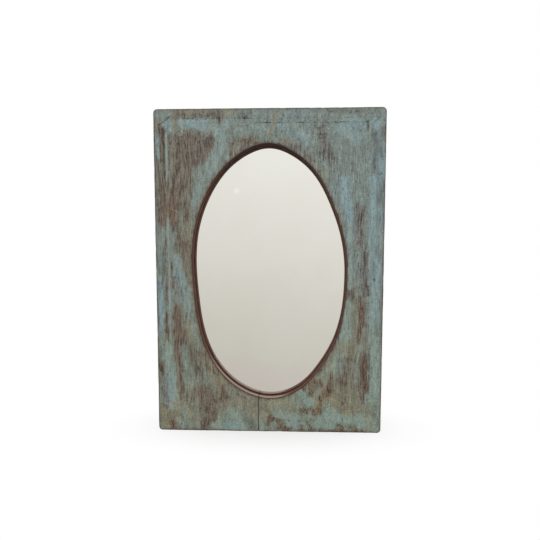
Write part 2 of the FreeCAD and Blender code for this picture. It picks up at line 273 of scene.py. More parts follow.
# Boards: two planks with half of the hand-cut oval each, in millimetres seen from the front
planks = {
    "seam": -21.5,
    "seamGap": 0.02,
    "seamOpens": 0.3,         # how far each board stands back from the seam below the oval
    "seamEase": (0.15, 1.3),  # wear of the seam's edges at the top and at the bottom
    "seamEaseWidth": 0.9,
    "seamLines": (0.45, 1.0, 2.0),
    "seamLineEnds": (3, 2),   # these lines stop short of the oval and of the outer edge
    "seamClear": 3.4,
    "cornerRadius": 8.0,
    "cornerSteps": 10,
    "arris": 2.6,
    "arrisLines": (0.15, 0.5, 1.1, 1.9, 2.9, 4.2),
    "arrisLimits": (0.7, 4.4),
    "rim": 1.6,
    "rimLines": (0.12, 0.4, 0.9, 1.6, 2.4, 3.4),
    "ringCount": 760,
    "lipDepth": 18.0,
    "recessClearance": 2.0,
    "sideRows": 11,
    "wallRows": 10,
    "recessRows": 3,
    "spacing": 2.0,           # of the points on the front
    "jitter": 0.25,
    "rowShare": 0.866,        # rows this much closer make even triangles
    "waviness": 0.4,
    "swell": 0.7,             # old boards stand a little proud of their drawn size
    "hollows": 0.35,
    "grainRelief": 0.14,
    "scribeInset": {-1: 20.5, 1: 27.5},    # left board and right board
    "scribeTop": 20.0,
    "scribeEnd": {-1: -131.0, 1: 98.0},
    "scribeFade": (-20, 30),  # runs out round its end
    "scribeDepth": 0.8,
    "scribeWidth": 0.75,
    "scribeDirt": 1.3,
    "scribeLines": (-1.1, -0.5, 0.0, 0.5, 1.1),
    "scribeClear": 2.0,
    "beadWidth": 8.5,
    "beadRise": 0.2,
    "cracks": (
        ((-220, 296), (-210, 302), (-196, 313)),
        ((-219, 292), (-217, 281)),
        ((207, 300), (216, 307)),
    ),
    "crackDepth": 0.6,
    "crackWidth": 0.8,
    "crackLines": (-0.9, 0.0, 0.9),
    "crackSpacing": 1.2,
    "crackClear": 1.7,
    "dentCount": 90,
    "dentSize": (0.8, 2.6),
    "dentDepth": (0.15, 0.55),
    "dentStretch": 2.2,       # longer along the grain
    "dentOverlap": 6.0,       # how far past the oval's edge a dent may lie
    "chipCount": 26,
    "chipSize": (2.0, 6.0),
    "chipDepth": (0.5, 1.6),
    "weld": 0.004,
    "sliver": 0.002,
    "sharpFrom": 50,
    "seed": 11,
}

# Brushed strokes on the front: half width, strength, then the points that a stroke runs through
strokes = {
    "worn": (    # rubbed thin, down to the wood
        (15, 0.84, (-152, 268), (-116, 264)), (13, 0.96, (-122, 254), (-140, 232)),
        (18, 0.73, (-180, 264), (-182, 205)), (13, 0.54, (-160, 244), (-166, 196)),
        (14, 0.68, (-180, 198), (-182, 122)), (9, 0.54, (-163, 184), (-167, 120)),
        (14, 0.41, (-182, 116), (-178, 52)), (9, 0.41, (-170, 60), (-168, 4)),
        (5, 0.68, (-211, 176), (-210, 104)), (6, 0.89, (-195, 166), (-192, 104)),
        (4, 0.89, (-219, 127), (-219, 112)), (3.5, 0.4, (-210, 62), (-209, 0)),
        (3.5, 0.4, (-209, -10), (-208, -62)), (2, 0.82, (-198, 22), (-196, -28)),
        (10, 0.8, (-187, -70), (-187, -110), (-184, -136)), (4, 0.57, (-209, -84), (-208, -138)),
        (7, 0.7, (-190, -150), (-184, -200), (-182, -242)), (9, 0.6, (-154, -164), (-150, -206)),
        (6, 0.6, (-131, -166), (-123, -196)), (8, 0.33, (-168, -120), (-158, -160)),
        (20, 0.9, (-140, -244), (-124, -262)), (14, 0.7, (-130, -266), (-120, -304)),
        (9, 0.41, (-184, -256), (-164, -270)), (6, 0.9, (-138, -304), (-135, -323)),
        (6, 0.8, (-97, -230), (-94, -254)), (10, 0.4, (-100, -258), (-70, -250)),
        (5, 0.82, (-222, -188), (-219, -204)), (5, 0.9, (-203, -310), (-201, -322)),
        (9, 0.49, (-217, 266), (-216, 106)), (6, 0.65, (-182, 315), (-104, 314)),
        (8, 0.6, (-98, 318), (-98, 300)), (7, 0.45, (-58, 316), (-38, 318)),
        (7, 0.7, (-76, 258), (-52, 266), (-28, 264)), (6, 0.55, (-73, 240), (-46, 256)),
        (6, 0.6, (118, 318), (186, 319)), (4, 0.6, (209, 324), (210, 308)),
        (5, 0.6, (226, 286), (226, 264)), (16, 0.6, (104, 286), (108, 242)),
        (9, 0.5, (118, 244), (124, 200)), (13, 0.4, (168, 244), (176, 196)),
        (6, 0.6, (34, 260), (62, 248), (90, 224)), (8, 0.95, (180, 134), (182, 100), (186, 66)),
        (12, 0.45, (184, 60), (187, 0), (186, -40)), (4, 0.8, (192, 42), (194, -40)),
        (6, 0.6, (164, -32), (168, -54)), (5, 1, (184, -46), (186, -92), (183, -138)),
        (4, 0.8, (191, -58), (191, -104)), (12, 0.6, (164, -174), (158, -196), (150, -222)),
        (9, 1, (196, -170), (197, -236)), (9, 0.5, (187, -160), (185, -230)),
        (12, 0.35, (150, -240), (164, -276)), (9, 0.45, (112, -224), (128, -244)),
        (5, 0.6, (190, -240), (192, -262)), (6, 0.8, (6, -296), (-2, -310)),
        (4, 0.6, (14, -304), (42, -303)), (7, 0.9, (24, -316), (34, -321)),
        (4, 0.6, (60, -323), (200, -323)), (4, 0.4, (-200, -323), (-140, -323)),
        (6, 0.8, (-211, 176), (-210, 104)),
    ),
    "covered": (    # where the paint stayed thick
        (9, 0.5, (-203, 302), (-201, 286)), (9, 0.9, (-176, 302), (-142, 300), (-112, 302)),
        (10, 0.9, (-78, 312), (-94, 286), (-96, 252)), (10, 0.9, (-96, 252), (-118, 214)),
        (9, 0.6, (-118, 214), (-140, 174), (-154, 138)), (18, 0.4, (-60, 292), (0, 286)),
        (16, 0.4, (30, 290), (70, 300)), (9, 0.8, (64, 276), (80, 262)),
        (16, 0.7, (148, 290), (174, 262)), (7, 0.8, (207, 302), (214, 290)),
        (9, 0.5, (150, 306), (184, 304)), (7, 1, (223, 232), (222, 198)),
        (8, 0.9, (148, 188), (158, 132), (165, 70)), (6, 1, (152, 170), (161, 106)),
        (4, 0.9, (164, 60), (164, 0), (162, -26)), (6, 0.9, (205, 190), (206, 60)),
        (6, 0.6, (222, 130), (222, 60)), (9, 0.8, (212, 56), (214, -20)), (8, 1, (212, -30), (212, -130)),
        (8, 0.9, (214, -136), (213, -256)), (7, 1, (158, -58), (152, -128), (148, -164)),
        (5, 0.4, (168, -60), (160, -150)), (6, 0.9, (-187, 36), (-173, -18), (-166, -72)),
        (7, 0.5, (-168, -64), (-158, -136)), (6, 0.7, (-221, -8), (-221, -112)),
        (6, 0.6, (-220, 80), (-219, 20)), (3, 0.6, (-220, 276), (-220, 234)),
        (6, 0.5, (-216, 240), (-215, 208)), (4, 0.5, (-221, 165), (-220, 135)),
        (9, 0.9, (-210, -148), (-206, -200)), (10, 1, (-203, -204), (-197, -274)),
        (11, 0.5, (-176, -284), (-150, -300)), (10, 0.8, (-84, -284), (-66, -300)),
        (8, 1, (-108, -316), (-56, -317)), (11, 0.8, (8, -266), (40, -272)),
        (8, 1, (12, -288), (52, -295)), (5, 0.8, (-15, -286), (-13, -324)),
        (8, 1, (44, -302), (60, -314)), (7, 1, (62, -242), (74, -252)), (9, 1, (80, -262), (98, -266)),
        (12, 1, (112, -296), (158, -294)), (8, 1, (100, -312), (132, -313)),
        (7, 0.9, (-188, -306), (-182, -314)), (7, 0.8, (188, -312), (208, -317)),
        (8, 0.8, (170, -300), (196, -306)), (8, 0.6, (186, -280), (204, -296)),
        (12, 0.35, (136, -252), (166, -266)), (7, 0.8, (126, -276), (136, -286)),
        (6, 0.7, (120, -196), (136, -186)), (8, 0.6, (-184, 124), (-172, 110)),
        (10, 0.5, (-160, 296), (-120, 290)), (6, 0.5, (-116, 228), (-106, 206)),
        (5, 0.3, (-101, -208), (-99, -232)),
    ),
    "blue": (    # where it is bluer
        (9, 0.8, (-203, 302), (-201, 286)), (8, 0.6, (-174, 302), (-132, 300)),
        (4, 0.4, (-220, 274), (-220, 236)), (8, 0.5, (-215, 318), (-200, 320)),
        (9, 0.15, (-92, 284), (-96, 252)), (12, 0.4, (20, 290), (70, 272)),
        (13, 0.4, (50, 320), (90, 300)), (10, 0.9, (206, 303), (214, 290)),
        (10, 0.5, (218, 280), (217, 100)), (10, 0.2, (172, 190), (176, 140)),
        (10, 0.4, (150, 292), (180, 270)), (7, 1, (223, 234), (222, 190)),
        (6, 0.6, (205, 190), (206, 70)), (8, 1, (150, 186), (158, 132), (165, 74)),
        (8, 0.4, (212, 60), (214, -20)), (9, 0.4, (130, 190), (145, 160)),
        (8, 0.4, (212, -30), (212, -110)), (6, 0.6, (-222, -24), (-221, -108)),
        (10, 0.4, (-203, -208), (-200, -240)), (9, 0.8, (-204, -256), (-198, -276)),
        (7, 0.8, (-88, -315), (-56, -317)), (6, 0.7, (-188, -306), (-182, -314)),
        (8, 0.5, (84, -260), (98, -264)), (5, 0.5, (150, -168), (144, -200)),
        (6, 0.4, (-186, 30), (-176, -10)), (8, 0.4, (116, -298), (148, -297)),
        (9, 0.45, (-182, 2), (-174, -60)), (8, 0.7, (-215, 30), (-213, -90)),
        (8, 0.5, (-196, 24), (-188, -76)), (7, 0.8, (-225, -10), (-224, -120)),
        (10, 0.5, (-30, -306), (60, -308)), (13, 0.4, (-40, -284), (36, -284)),
        (8, 0.8, (-216, -226), (-208, -280)), (9, 0.6, (170, 300), (184, 288)),
        (7, 0.8, (-221, 272), (-218, 204)), (8, 0.4, (-150, 294), (-130, 274)),
    ),
    "olive": (    # where it is yellower or stained
        (5, 1, (-187, 312), (-186, 290)), (8, 1, (-190, 321), (-72, 322)),
        (6, 0.6, (-180, 318), (-110, 318)), (8, 0.8, (-78, 254), (-52, 266), (-26, 268)),
        (4, 1, (14, 322), (10, 300), (2, 276)), (7, 0.8, (24, 266), (46, 258)),
        (9, 0.5, (84, 310), (110, 306)), (8, 0.7, (96, 216), (114, 184)), (6, 0.6, (140, 120), (148, 90)),
        (12, 0.35, (150, 270), (165, 240)), (12, 0.5, (-180, 190), (-176, 130)),
        (10, 0.8, (-166, 110), (-162, 60)), (8, 0.9, (-164, 60), (-160, -20)),
        (10, 0.6, (-176, 60), (-172, 10)), (5, 0.7, (-222, 305), (-218, 285)),
        (9, 0.8, (-138, -160), (-118, -202)), (7, 1, (-102, -206), (-98, -234)),
        (3, 0.8, (-191, -176), (-184, -266)), (7, 0.6, (-167, -92), (-158, -148)),
        (10, 0.5, (-178, -262), (-152, -306)), (16, 0.6, (-150, -250), (-110, -270)),
        (14, 0.5, (-80, -258), (-96, -272)), (18, 0.5, (-52, -262), (-6, -276)),
        (14, 0.55, (8, -264), (44, -272)), (12, 0.4, (-40, -285), (-8, -300)),
        (8, 0.9, (-106, -226), (-90, -262)), (14, 1, (-222, -290), (-206, -318)),
        (8, 0.5, (-196, -270), (-188, -296)), (9, 0.6, (172, -50), (172, -132), (166, -172)),
        (8, 0.7, (196, -108), (198, -152)), (7, 0.7, (128, -152), (112, -188)),
        (20, 1, (124, -244), (150, -262)), (16, 0.9, (162, -230), (166, -272)),
        (12, 0.5, (184, -240), (190, -276)), (14, 0.8, (164, -150), (158, -220)),
        (9, 0.8, (104, -262), (98, -282)), (12, 0.5, (112, -212), (86, -234)),
        (12, 0.4, (204, -276), (206, -316)), (8, 0.8, (-112, -222), (-84, -228)),
        (8, 1, (-73, 241), (-46, 258)), (5, 0.6, (146, -140), (134, -172)),
        (8, 0.5, (180, -30), (190, -50)), (7, 0.5, (172, -8), (176, -52)),
        (9, 0.6, (184, -56), (180, -136)), (8, 0.6, (120, -176), (132, -222)),
        (6, 0.6, (164, 92), (168, 66)),
    ),
    "flaked": (    # where it came off in flakes
        (4, 0.8, (72, -238), (96, -214), (116, -180)), (8, 1, (90, -222), (84, -246)),
        (5, 0.9, (104, -218), (106, -230)), (8, 0.9, (128, -212), (122, -246)),
        (6, 1, (114, -240), (106, -256)), (6, 1, (106, -262), (102, -284)),
        (9, 1, (72, -280), (98, -285)), (6, 0.7, (150, -266), (152, -284)),
        (8, 0.5, (160, -224), (166, -242)), (7, 0.6, (46, -280), (62, -286)),
        (5, 0.7, (64, -306), (70, -324)), (6, 0.8, (80, -308), (90, -322)),
        (6, 1, (142, -312), (156, -316)), (5, 0.9, (140, -322), (152, -323)),
        (6, 1, (168, -314), (178, -321)), (7, 0.9, (22, -314), (34, -322)),
        (6, 0.8, (2, -290), (6, -300)), (5, 0.7, (12, -303), (40, -302)),
        (6, 1, (196, -184), (197, -234)), (4, 1, (186, -68), (186, -100), (184, -138)),
        (3, 0.8, (191, -52), (192, -72)), (3, 0.9, (191, -4), (194, -24)),
        (2.5, 1, (200, -24), (200, -42)), (2.5, 0.9, (171, -34), (172, -48)),
        (2.5, 0.7, (183, -44), (184, -64)), (3.5, 1, (-210, 288), (-209.5, 250)),
        (3, 0.9, (-209.5, 250), (-209, 196)), (5, 0.9, (-217, 298), (-213, 282)),
        (3, 0.8, (-224, 312), (-228, 302)), (3, 0.4, (194, 301), (194, 288)),
        (4, 0.7, (219, 244), (221, 234)), (4, 0.7, (-116, -196), (-112, -204)),
        (5, 0.8, (-97, -232), (-94, -254)), (6, 0.7, (-204, -310), (-200, -322)),
        (6, 0.75, (-222, -194), (-216, -262)), (5, 0.9, (-205, -312), (-195, -314)),
        (5, 0.5, (-216, -272), (-212, -284)), (4, 0.6, (-80, 286), (-76, 274)),
        (5, 0.6, (-66, -250), (-50, -256)),
    ),
    "scored": (    # where the scribed lines are cut deeper
        (6, 0.9, (-64, 311), (-40, 311)), (4, 0.9, (118, 299), (190, 299)),
        (3, 0.6, (-50, 299), (118, 299)), (6, 0.2, (-180, 308), (-110, 308)),
        (6, 1, (-209.5, 286), (-209.5, 200)), (6, 0.7, (194, 300), (194, 270)),
    ),
    # the bead's crest: light paint and a painted highlight
    "bead": (    # the light edge of the bead between them
        (1.4, 1, (-204.6, 280), (-204.4, 190)), (1.4, 0.12, (-204.4, 190), (-203.8, 115)),
        (1.4, 0.9, (-203.8, 112), (-202.4, -70)), (1.3, 0.4, (-202.4, -70), (-201.4, -172)),
        (1.2, 0.5, (197.5, 298), (197.5, 280)), (1.2, 0.4, (150, 304), (184, 304)),
    ),
    "soiled": (    # dirt
        (9, 0.5, (-219, 280), (-218, 110)), (11, 0.6, (218, 290), (217, 104)),
        (9, 0.45, (215, 96), (214, -60)), (8, 0.4, (-216, 96), (-215, -60)),
        (5, 0.7, (-205, 310), (-70, 310)), (6, 0.25, (-20, 308), (190, 307)),
        (1.2, 0.3, (-60, 299), (60, 299)), (1.2, 0.45, (60, 299), (190, 299)),
        (6, 0.6, (-225, 232), (-224, 140)), (6, 0.7, (-225, 110), (-224, -30)),
        (5, 0.6, (-226, -20), (-226, -180)), (3.5, 1, (-209.5, 284), (-209.5, 228)),
        (3, 0.8, (-209.5, 228), (-209.5, 190)), (6, 0.9, (-218, 296), (-216, 274)),
        (4, 0.8, (-216, 40), (-215, 0)), (11, 0.8, (-162, -150), (-148, -208)),
        (6, 1, (-222, -190), (-219, -206)), (6, 0.4, (-222, -222), (-218, -264)),
        (4, 0.8, (-213, -246), (-212, -254)), (12, 1, (-46, -302), (-29, -319)),
        (3, 0.9, (-1, 322), (-3, 302)), (3, 0.9, (15, 291), (14, 272)), (3, 0.6, (20, 282), (19, 270)),
        (3, 0.9, (-37, 277), (-36, 267)), (3, 0.6, (-48, 278), (-50, 270)),
        (9, 0.5, (46, 318), (62, 306)), (5, 0.9, (-60, 311), (-42, 311)),
        (3.5, 1, (194, 301), (194, 288)), (6, 0.9, (206, 274), (213, 250)),
        (4, 1, (218, 246), (222, 235)), (5, 0.9, (209, 240), (206, 204)),
        (4, 0.6, (204, 292), (203, 272)), (5, 0.7, (221, 172), (218, 144)),
        (4, 0.7, (215, 55), (214, 38)), (3, 0.6, (210, 20), (211, -10)), (6, 0.45, (227, 200), (227, 40)),
        (3, 0.7, (170, 126), (169, 80)), (4, 0.5, (198, 118), (200, 92)),
        (5, 0.7, (14, -322), (36, -323)), (4, 0.8, (192, 40), (193, -44)), (3, 1, (198, -22), (200, -42)),
        (4, 0.9, (168, -32), (169, -48)), (4, 0.7, (226, -60), (225, -140)),
        (4, 0.9, (214, -88), (218, -124)), (4, 0.5, (186, -158), (188, -222)),
        (4, 0.6, (150, -164), (144, -200)), (8, 1, (195, -176), (197, -232)),
        (9, 0.55, (-172, 48), (-168, -24)), (7, 0.5, (-184, 56), (-180, -10)),
        (8, 0.7, (-193, 102), (-190, 64)), (6, 0.6, (-202, -88), (-200, -114)),
        (7, 0.6, (-163, -116), (-156, -152)), (8, 0.5, (-156, 174), (-166, 140)),
        (5, 0.7, (-226, -180), (-226, -240)), (8, 0.7, (106, -226), (88, -240)),
        (6, 0.6, (168, 112), (172, 76)), (4, 0.6, (206, 62), (208, 0)),
    ),
    "reddish": (    # where the wood shows red
        (6, 0.9, (-195, 166), (-192, 104)), (5, 0.8, (-211, 172), (-210, 110)),
        (2, 1, (-198, 22), (-196, -30)), (3, 0.35, (-209, 60), (-208, -62)),
        (9, 0.8, (-190, -72), (-186, -130)), (4, 0.9, (-209, -84), (-208, -140)),
        (6, 0.6, (-190, -150), (-182, -240)), (5, 1, (-203, -310), (-201, -320)),
        (5, 0.6, (226, 286), (226, 264)), (4, 0.9, (184, -46), (186, -92), (183, -138)),
        (4, 0.8, (191, -58), (191, -104)), (9, 0.5, (126, -214), (124, -248)),
        (8, 0.5, (82, -228), (88, -248)), (4, 0.6, (-193, -280), (-192, -300)),
        (7, 0.8, (-73, 241), (-50, 258), (-28, 266)), (5, 0.8, (24, 266), (46, 258)),
        (6, 0.7, (60, 250), (84, 228)), (8, 0.9, (-204, -308), (-196, -318)),
        (6, 0.7, (-200, 150), (-196, 78)), (5, 0.8, (-200, -194), (-200, -218)),
        (6, 0.6, (-200, -90), (-198, -112)),
    ),
}

# where wear, dirt and the painted shade at the rim and the outer edge begin and where they are full, in
# millimetres from the edge that they follow
wearReach = {
    "rimDirtAndShade": (2.0, 0.6),
    "edgeDirtAndShade": (2.2, 0.4),
    "seamDirt": (1.1, 0.1),
    "rimWear": (9.0, 1.0),
    "rimBare": (3.0, 0.8),
    "edgeWear": (4.5, 1.0),
    "handled": (13.0, 1.0),
    "stroke": (2.1, -0.3),    # in half widths of the stroke
}


def castOpening():
    trees = []
    for side in ("left_board", "right_board"):
        mesh = nodes[side].data
        trees.append(BVHTree.FromPolygons([v.co[:] for v in mesh.vertices],
                                          [p.vertices[:] for p in mesh.polygons]))
    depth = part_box("left_board")[0].y + planks["lipDepth"] * 0.6 * mm
    angles = np.linspace(0, 2 * math.pi, planks["ringCount"], endpoint=False)
    reach = []
    for angle in angles:
        ray = Vector((math.cos(angle), 0, math.sin(angle)))
        hits = [tree.ray_cast(Vector((0, depth, 0)), ray)[3] for tree in trees]
        reach.append(min(hit for hit in hits if hit) / mm)
    reach = sum(np.roll(reach, step) for step in (-2, -1, 0, 1, 2)) / 5
    ring = np.column_stack((reach * np.cos(angles), reach * np.sin(angles)))
    along = np.roll(ring, -1, 0) - np.roll(ring, 1, 0)
    along /= np.linalg.norm(along, axis=1)[:, None]
    return angles, reach, ring, np.column_stack((along[:, 1], -along[:, 0]))


openingAngles, openingReach, openingRing, openingNormals = castOpening()
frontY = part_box("left_board")[0].y / mm
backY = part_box("left_board")[1].y / mm
lipY = frontY + planks["lipDepth"]
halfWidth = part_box("right_board")[1].x / mm
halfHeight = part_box("right_board")[1].z / mm
recessHalf = [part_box("mirror_plate")[1][axis] / mm + planks["recessClearance"] for axis in (0, 2)]
print("opening", np.ptp(openingRing, axis=0).round(1))


# what was measured round the oval, read off in the direction of each point
def roundOval(x, z, values):
    return np.interp(np.arctan2(z, x) % (2 * math.pi), openingAngles, values, period=2 * math.pi)


# how far a point of the front lies from the oval and from the outer edge
def fromOpening(x, z):
    lean = (openingNormals * openingRing).sum(1) / openingReach
    return (np.hypot(x, z) - roundOval(x, z, openingReach)) * roundOval(x, z, lean)


def fromEdge(x, z):
    radius = planks["cornerRadius"]
    overX = np.abs(x) - (halfWidth - radius)
    overZ = np.abs(z) - (halfHeight - radius)
    outside = np.hypot(np.maximum(overX, 0), np.maximum(overZ, 0))
    return radius - outside - np.minimum(np.maximum(overX, overZ), 0)


# distance from each point to a line of straight runs
def fromRuns(x, z, points):
    nearest = np.full(len(x), 1e3)
    for (x0, z0), (x1, z1) in zip(points, points[1:]):
        dx, dz = x1 - x0, z1 - z0
        along = np.clip(((x - x0) * dx + (z - z0) * dz) / (dx * dx + dz * dz), 0, 1)
        nearest = np.minimum(nearest, np.hypot(x - x0 - along * dx, z - z0 - along * dz))
    return nearest


# how much of one kind of stroke lies on each point, with a ragged edge
def brushed(name, x, z):
    share = np.zeros(len(x))
    ragged = 0.40 * drift(x, z, 6, 26, 12.5) + 0.25 * drift(x, z, 2.6, 14, 16.5)
    for wide, strength, *points in strokes[name]:
        away = fromRuns(x, z, points) / wide + ragged
        share = 1 - (1 - share) * (1 - strength * near(away, wearReach["stroke"]))
    return share


def seamAt(sign):
    return planks["seam"] + sign * planks["seamGap"]


# the part of a ring on one side of the seam, from its top to its bottom
def cutRing(ring, sign):
    seam = seamAt(sign)
    kept = (ring[:, 0] - seam) * sign > 0
    count = len(ring)
    first = [i for i in range(count) if kept[i] and not kept[i - 1]][0]
    run = [ring[(first + i) % count] for i in range(int(kept.sum()))]
    ends = []
    for inner, outer in ((run[0], ring[first - 1]), (run[-1], ring[(first + len(run)) % count])):
        share = (seam - inner[0]) / (outer[0] - inner[0])
        ends.append(np.array((seam, inner[1] + share * (outer[1] - inner[1]))))
    path = np.array([ends[0], *run, ends[1]])
    return path if path[0, 1] > path[-1, 1] else path[::-1]


def spread(first, last, spacing):
    count = max(2, int(round(abs(last - first) / spacing)) + 1)
    return np.linspace(first, last, count)


# round the outside of one board, from the top of the seam to its bottom
def outerPath(sign):
    radius = planks["cornerRadius"]
    step = planks["spacing"]
    seam = seamAt(sign)
    straightX = sign * (halfWidth - radius)
    straightZ = halfHeight - radius
    points = [(x, halfHeight, 0, 1) for x in spread(seam, straightX, step)]
    for c, s in bend(90, 0, planks["cornerSteps"]):
        points.append((straightX + sign * radius * c, straightZ + radius * s, sign * c, s))
    points += [(sign * halfWidth, z, sign, 0) for z in spread(straightZ, -straightZ, step)[1:]]
    for c, s in bend(0, -90, planks["cornerSteps"]):
        points.append((straightX + sign * radius * c, -straightZ + radius * s, sign * c, s))
    points += [(x, -halfHeight, 0, -1) for x in spread(straightX, seam, step)[1:]]
    points = np.array(points)
    return points[:, :2], points[:, 2:]


def recessPath(sign):
    seam = seamAt(sign)
    wide, tall = recessHalf
    step = planks["spacing"] * 3
    points = [(x, tall) for x in spread(seam, sign * wide, step)]
    points += [(sign * wide, z) for z in spread(tall, -tall, step)[1:]]
    points += [(x, -tall) for x in spread(sign * wide, seam, step)[1:]]
    return np.array(points)


# the two scribed lines, outer one first, each along the top and down the side
def scribePaths(sign):
    paths = []
    for step in (0.0, planks["beadWidth"]):
        x = sign * (halfWidth - planks["scribeInset"][sign] - step)
        z = halfHeight - planks["scribeTop"] - step
        paths.append((x, z))
    return paths


def fromScribe(x, z, path, sign):
    lineX, lineZ = path
    wander = 0.35 * drift(x, z, 60, 60, 3.7) + 0.4 * drift(x, z, 9, 9, 6.1)
    across = np.where((x - lineX) * sign < 0, np.abs(z - lineZ + wander), 1e3)
    down = np.where(z < lineZ, np.abs(x - lineX + wander), 1e3)
    corner = np.hypot(x - lineX, z - lineZ)
    return np.minimum(np.minimum(across, down), corner)


def scribeCut(x, z, sign, wide):
    cut = np.zeros(len(x))
    scored = brushed("scored", x, z)
    nicks = np.clip(0.5 + 1.8 * drift(x, z, 3.2, 3.2, 9.4), 0.1, 1.1)
    ending = smooth(z, *[planks["scribeEnd"][sign] + step for step in planks["scribeFade"]])
    for path in scribePaths(sign):
        kept = np.clip(0.25 + 0.9 * drift(x, z, 36, 36, 5.1 + path[0]) + 0.8 * scored, 0.1, 1)
        shape = np.exp(-(fromScribe(x, z, path, sign) / wide) ** 2)
        cut = np.maximum(cut, shape * kept * nicks * ending)
    return cut


def crackCut(x, z):
    cut = np.zeros(len(x))
    for crack in planks["cracks"]:
        cut = np.maximum(cut, np.exp(-(fromRuns(x, z, crack) / planks["crackWidth"]) ** 2))
    return cut


# lines along a crack and on both sides of it
def besideCrack(crack):
    corners = np.array(crack, float)
    reach = np.append(0, np.cumsum(np.linalg.norm(np.diff(corners, axis=0), axis=1)))
    stops = spread(0, reach[-1], planks["crackSpacing"])
    path = np.column_stack([np.interp(stops, reach, corners[:, axis]) for axis in (0, 1)])
    aside = path[-1] - path[0]
    aside = np.array((aside[1], -aside[0])) / np.linalg.norm(aside)
    return [path + aside * step for step in planks["crackLines"]]


def scatterDents():
    dice = random.Random(planks["seed"])
    found = []
    while len(found) < planks["dentCount"]:
        x = dice.uniform(-halfWidth, halfWidth)
        z = dice.uniform(-halfHeight, halfHeight)
        if fromOpening(np.array([x]), np.array([z]))[0] > -planks["dentOverlap"]:
            found.append((x, z, dice.uniform(*planks["dentSize"]), dice.uniform(*planks["dentDepth"])))
    return found


dents = scatterDents()


def dentAt(x, z, dent):
    dentX, dentZ, size, deep = dent
    tall = size * planks["dentStretch"]
    return deep * np.exp(-(((x - dentX) / size) ** 2 + ((z - dentZ) / tall) ** 2))


# chips that widen the rounding of an edge here and there
def edgeRadius(x, z, base, seed):
    dice = random.Random(seed)
    radius = base * (0.85 + 0.4 * drift(x, z, 30, 30, seed) + 0.25 * drift(x, z, 7, 7, seed + 4))
    for chip in range(planks["chipCount"]):
        turn = dice.uniform(0, 2 * math.pi)
        chipX = np.clip(math.cos(turn) * halfWidth * 1.2, -halfWidth, halfWidth)
        chipZ = np.clip(math.sin(turn) * halfHeight * 1.2, -halfHeight, halfHeight)
        size = dice.uniform(*planks["chipSize"])
        deep = dice.uniform(*planks["chipDepth"])
        radius = radius + deep * np.exp(-((x - chipX) ** 2 + (z - chipZ) ** 2) / size ** 2)
    return np.clip(radius, *planks["arrisLimits"])


def rounding(away, radius):
    inside = np.clip(radius - away, 0, radius)
    return radius - np.sqrt(np.maximum(radius ** 2 - inside ** 2, 0))


# how deep each point of the front lies behind the flat face
def frontDepth(x, z, sign):
    depth = planks["hollows"] * (0.5 + 0.5 * drift(x, z, 110, 150, 1.3))
    depth += planks["grainRelief"] * (0.5 + drift(x, z, 3.2, 70, 2.2))
    depth += planks["scribeDepth"] * scribeCut(x, z, sign, planks["scribeWidth"])
    depth += planks["crackDepth"] * crackCut(x, z)
    for dent in dents:
        depth += dentAt(x, z, dent)
    top, bottom = planks["seamEase"]
    ease = np.exp(-np.abs(x - seamAt(sign)) / planks["seamEaseWidth"])
    depth += np.where(z > 0, top, bottom) * ease * (0.8 + 0.4 * drift(x, z, 9, 9, 8.2))
    outer, inner = scribePaths(sign)
    crown = np.minimum(fromScribe(x, z, outer, sign), fromScribe(x, z, inner, sign))
    onBead = (np.abs(x - (outer[0] + inner[0]) / 2) < planks["beadWidth"] / 2) & (z < outer[1])
    end = planks["scribeEnd"][sign]
    bead = planks["beadRise"] * smooth(crown, 0.5, 3.0) * smooth(z, end, end + 50)
    depth -= np.where(onBead, bead, 0)
    depth += rounding(fromEdge(x, z), edgeRadius(x, z, planks["arris"], 21))
    depth += rounding(fromOpening(x, z), planks["rim"] * (1 + 0.2 * drift(x, z, 25, 25, 61)))
    return depth


# a flat sheet of triangles inside an outline, with edges along the given lines
def fillSheet(outline, lines, spots):
    points = [tuple(p) for p in outline]
    edges = []
    for line in lines:
        start = len(points)
        points += [tuple(p) for p in line]
        edges += [(start + i, start + i + 1) for i in range(len(line) - 1)]
    points += [tuple(p) for p in spots]
    made = geometry.delaunay_2d_cdt([Vector(p) for p in points], edges,
                                    [list(range(len(outline)))], 1, 1e-5)
    flat = np.array([points[source[0]] if source else tuple(spot)
                     for spot, source in zip(made[0], made[3])])
    return flat, [tuple(face) for face in made[2]]


# paths joined end to end into one closed outline, with no point twice
def chain(*parts):
    whole = [np.asarray(parts[0])]
    for part in parts[1:]:
        part = np.asarray(part)
        whole.append(part[1:] if np.allclose(whole[-1][-1], part[0], atol=1e-6) else part)
    joined = np.concatenate(whole)
    return joined[:-1] if np.allclose(joined[0], joined[-1], atol=1e-6) else joined


# loose points over the front, clear of the lines that are laid there
def scatterSpots(sign):
    dice = random.Random(planks["seed"] + sign)
    step = planks["spacing"]
    jitter = planks["jitter"]
    spots = []
    low, high = sorted((seamAt(sign), sign * halfWidth))
    row = 0
    z = -halfHeight
    while z < halfHeight:
        x = low + (row % 2) * step / 2
        while x < high:
            spots.append((x + dice.uniform(-jitter, jitter) * step, z + dice.uniform(-jitter, jitter) * step))
            x += step
        z += step * planks["rowShare"]
        row += 1
    spots = np.array(spots)
    x, z = spots[:, 0], spots[:, 1]
    keep = np.abs(x - seamAt(sign)) > planks["seamClear"]
    keep &= fromOpening(x, z) > planks["rimLines"][-1] + 1
    keep &= fromEdge(x, z) > planks["arrisLines"][-1] + 1
    for path in scribePaths(sign):
        keep &= (fromScribe(x, z, path, sign) > planks["scribeClear"]) | (z < planks["scribeEnd"][sign])
    for crack in planks["cracks"]:
        keep &= fromRuns(x, z, crack) > planks["crackClear"]
    return spots[keep]


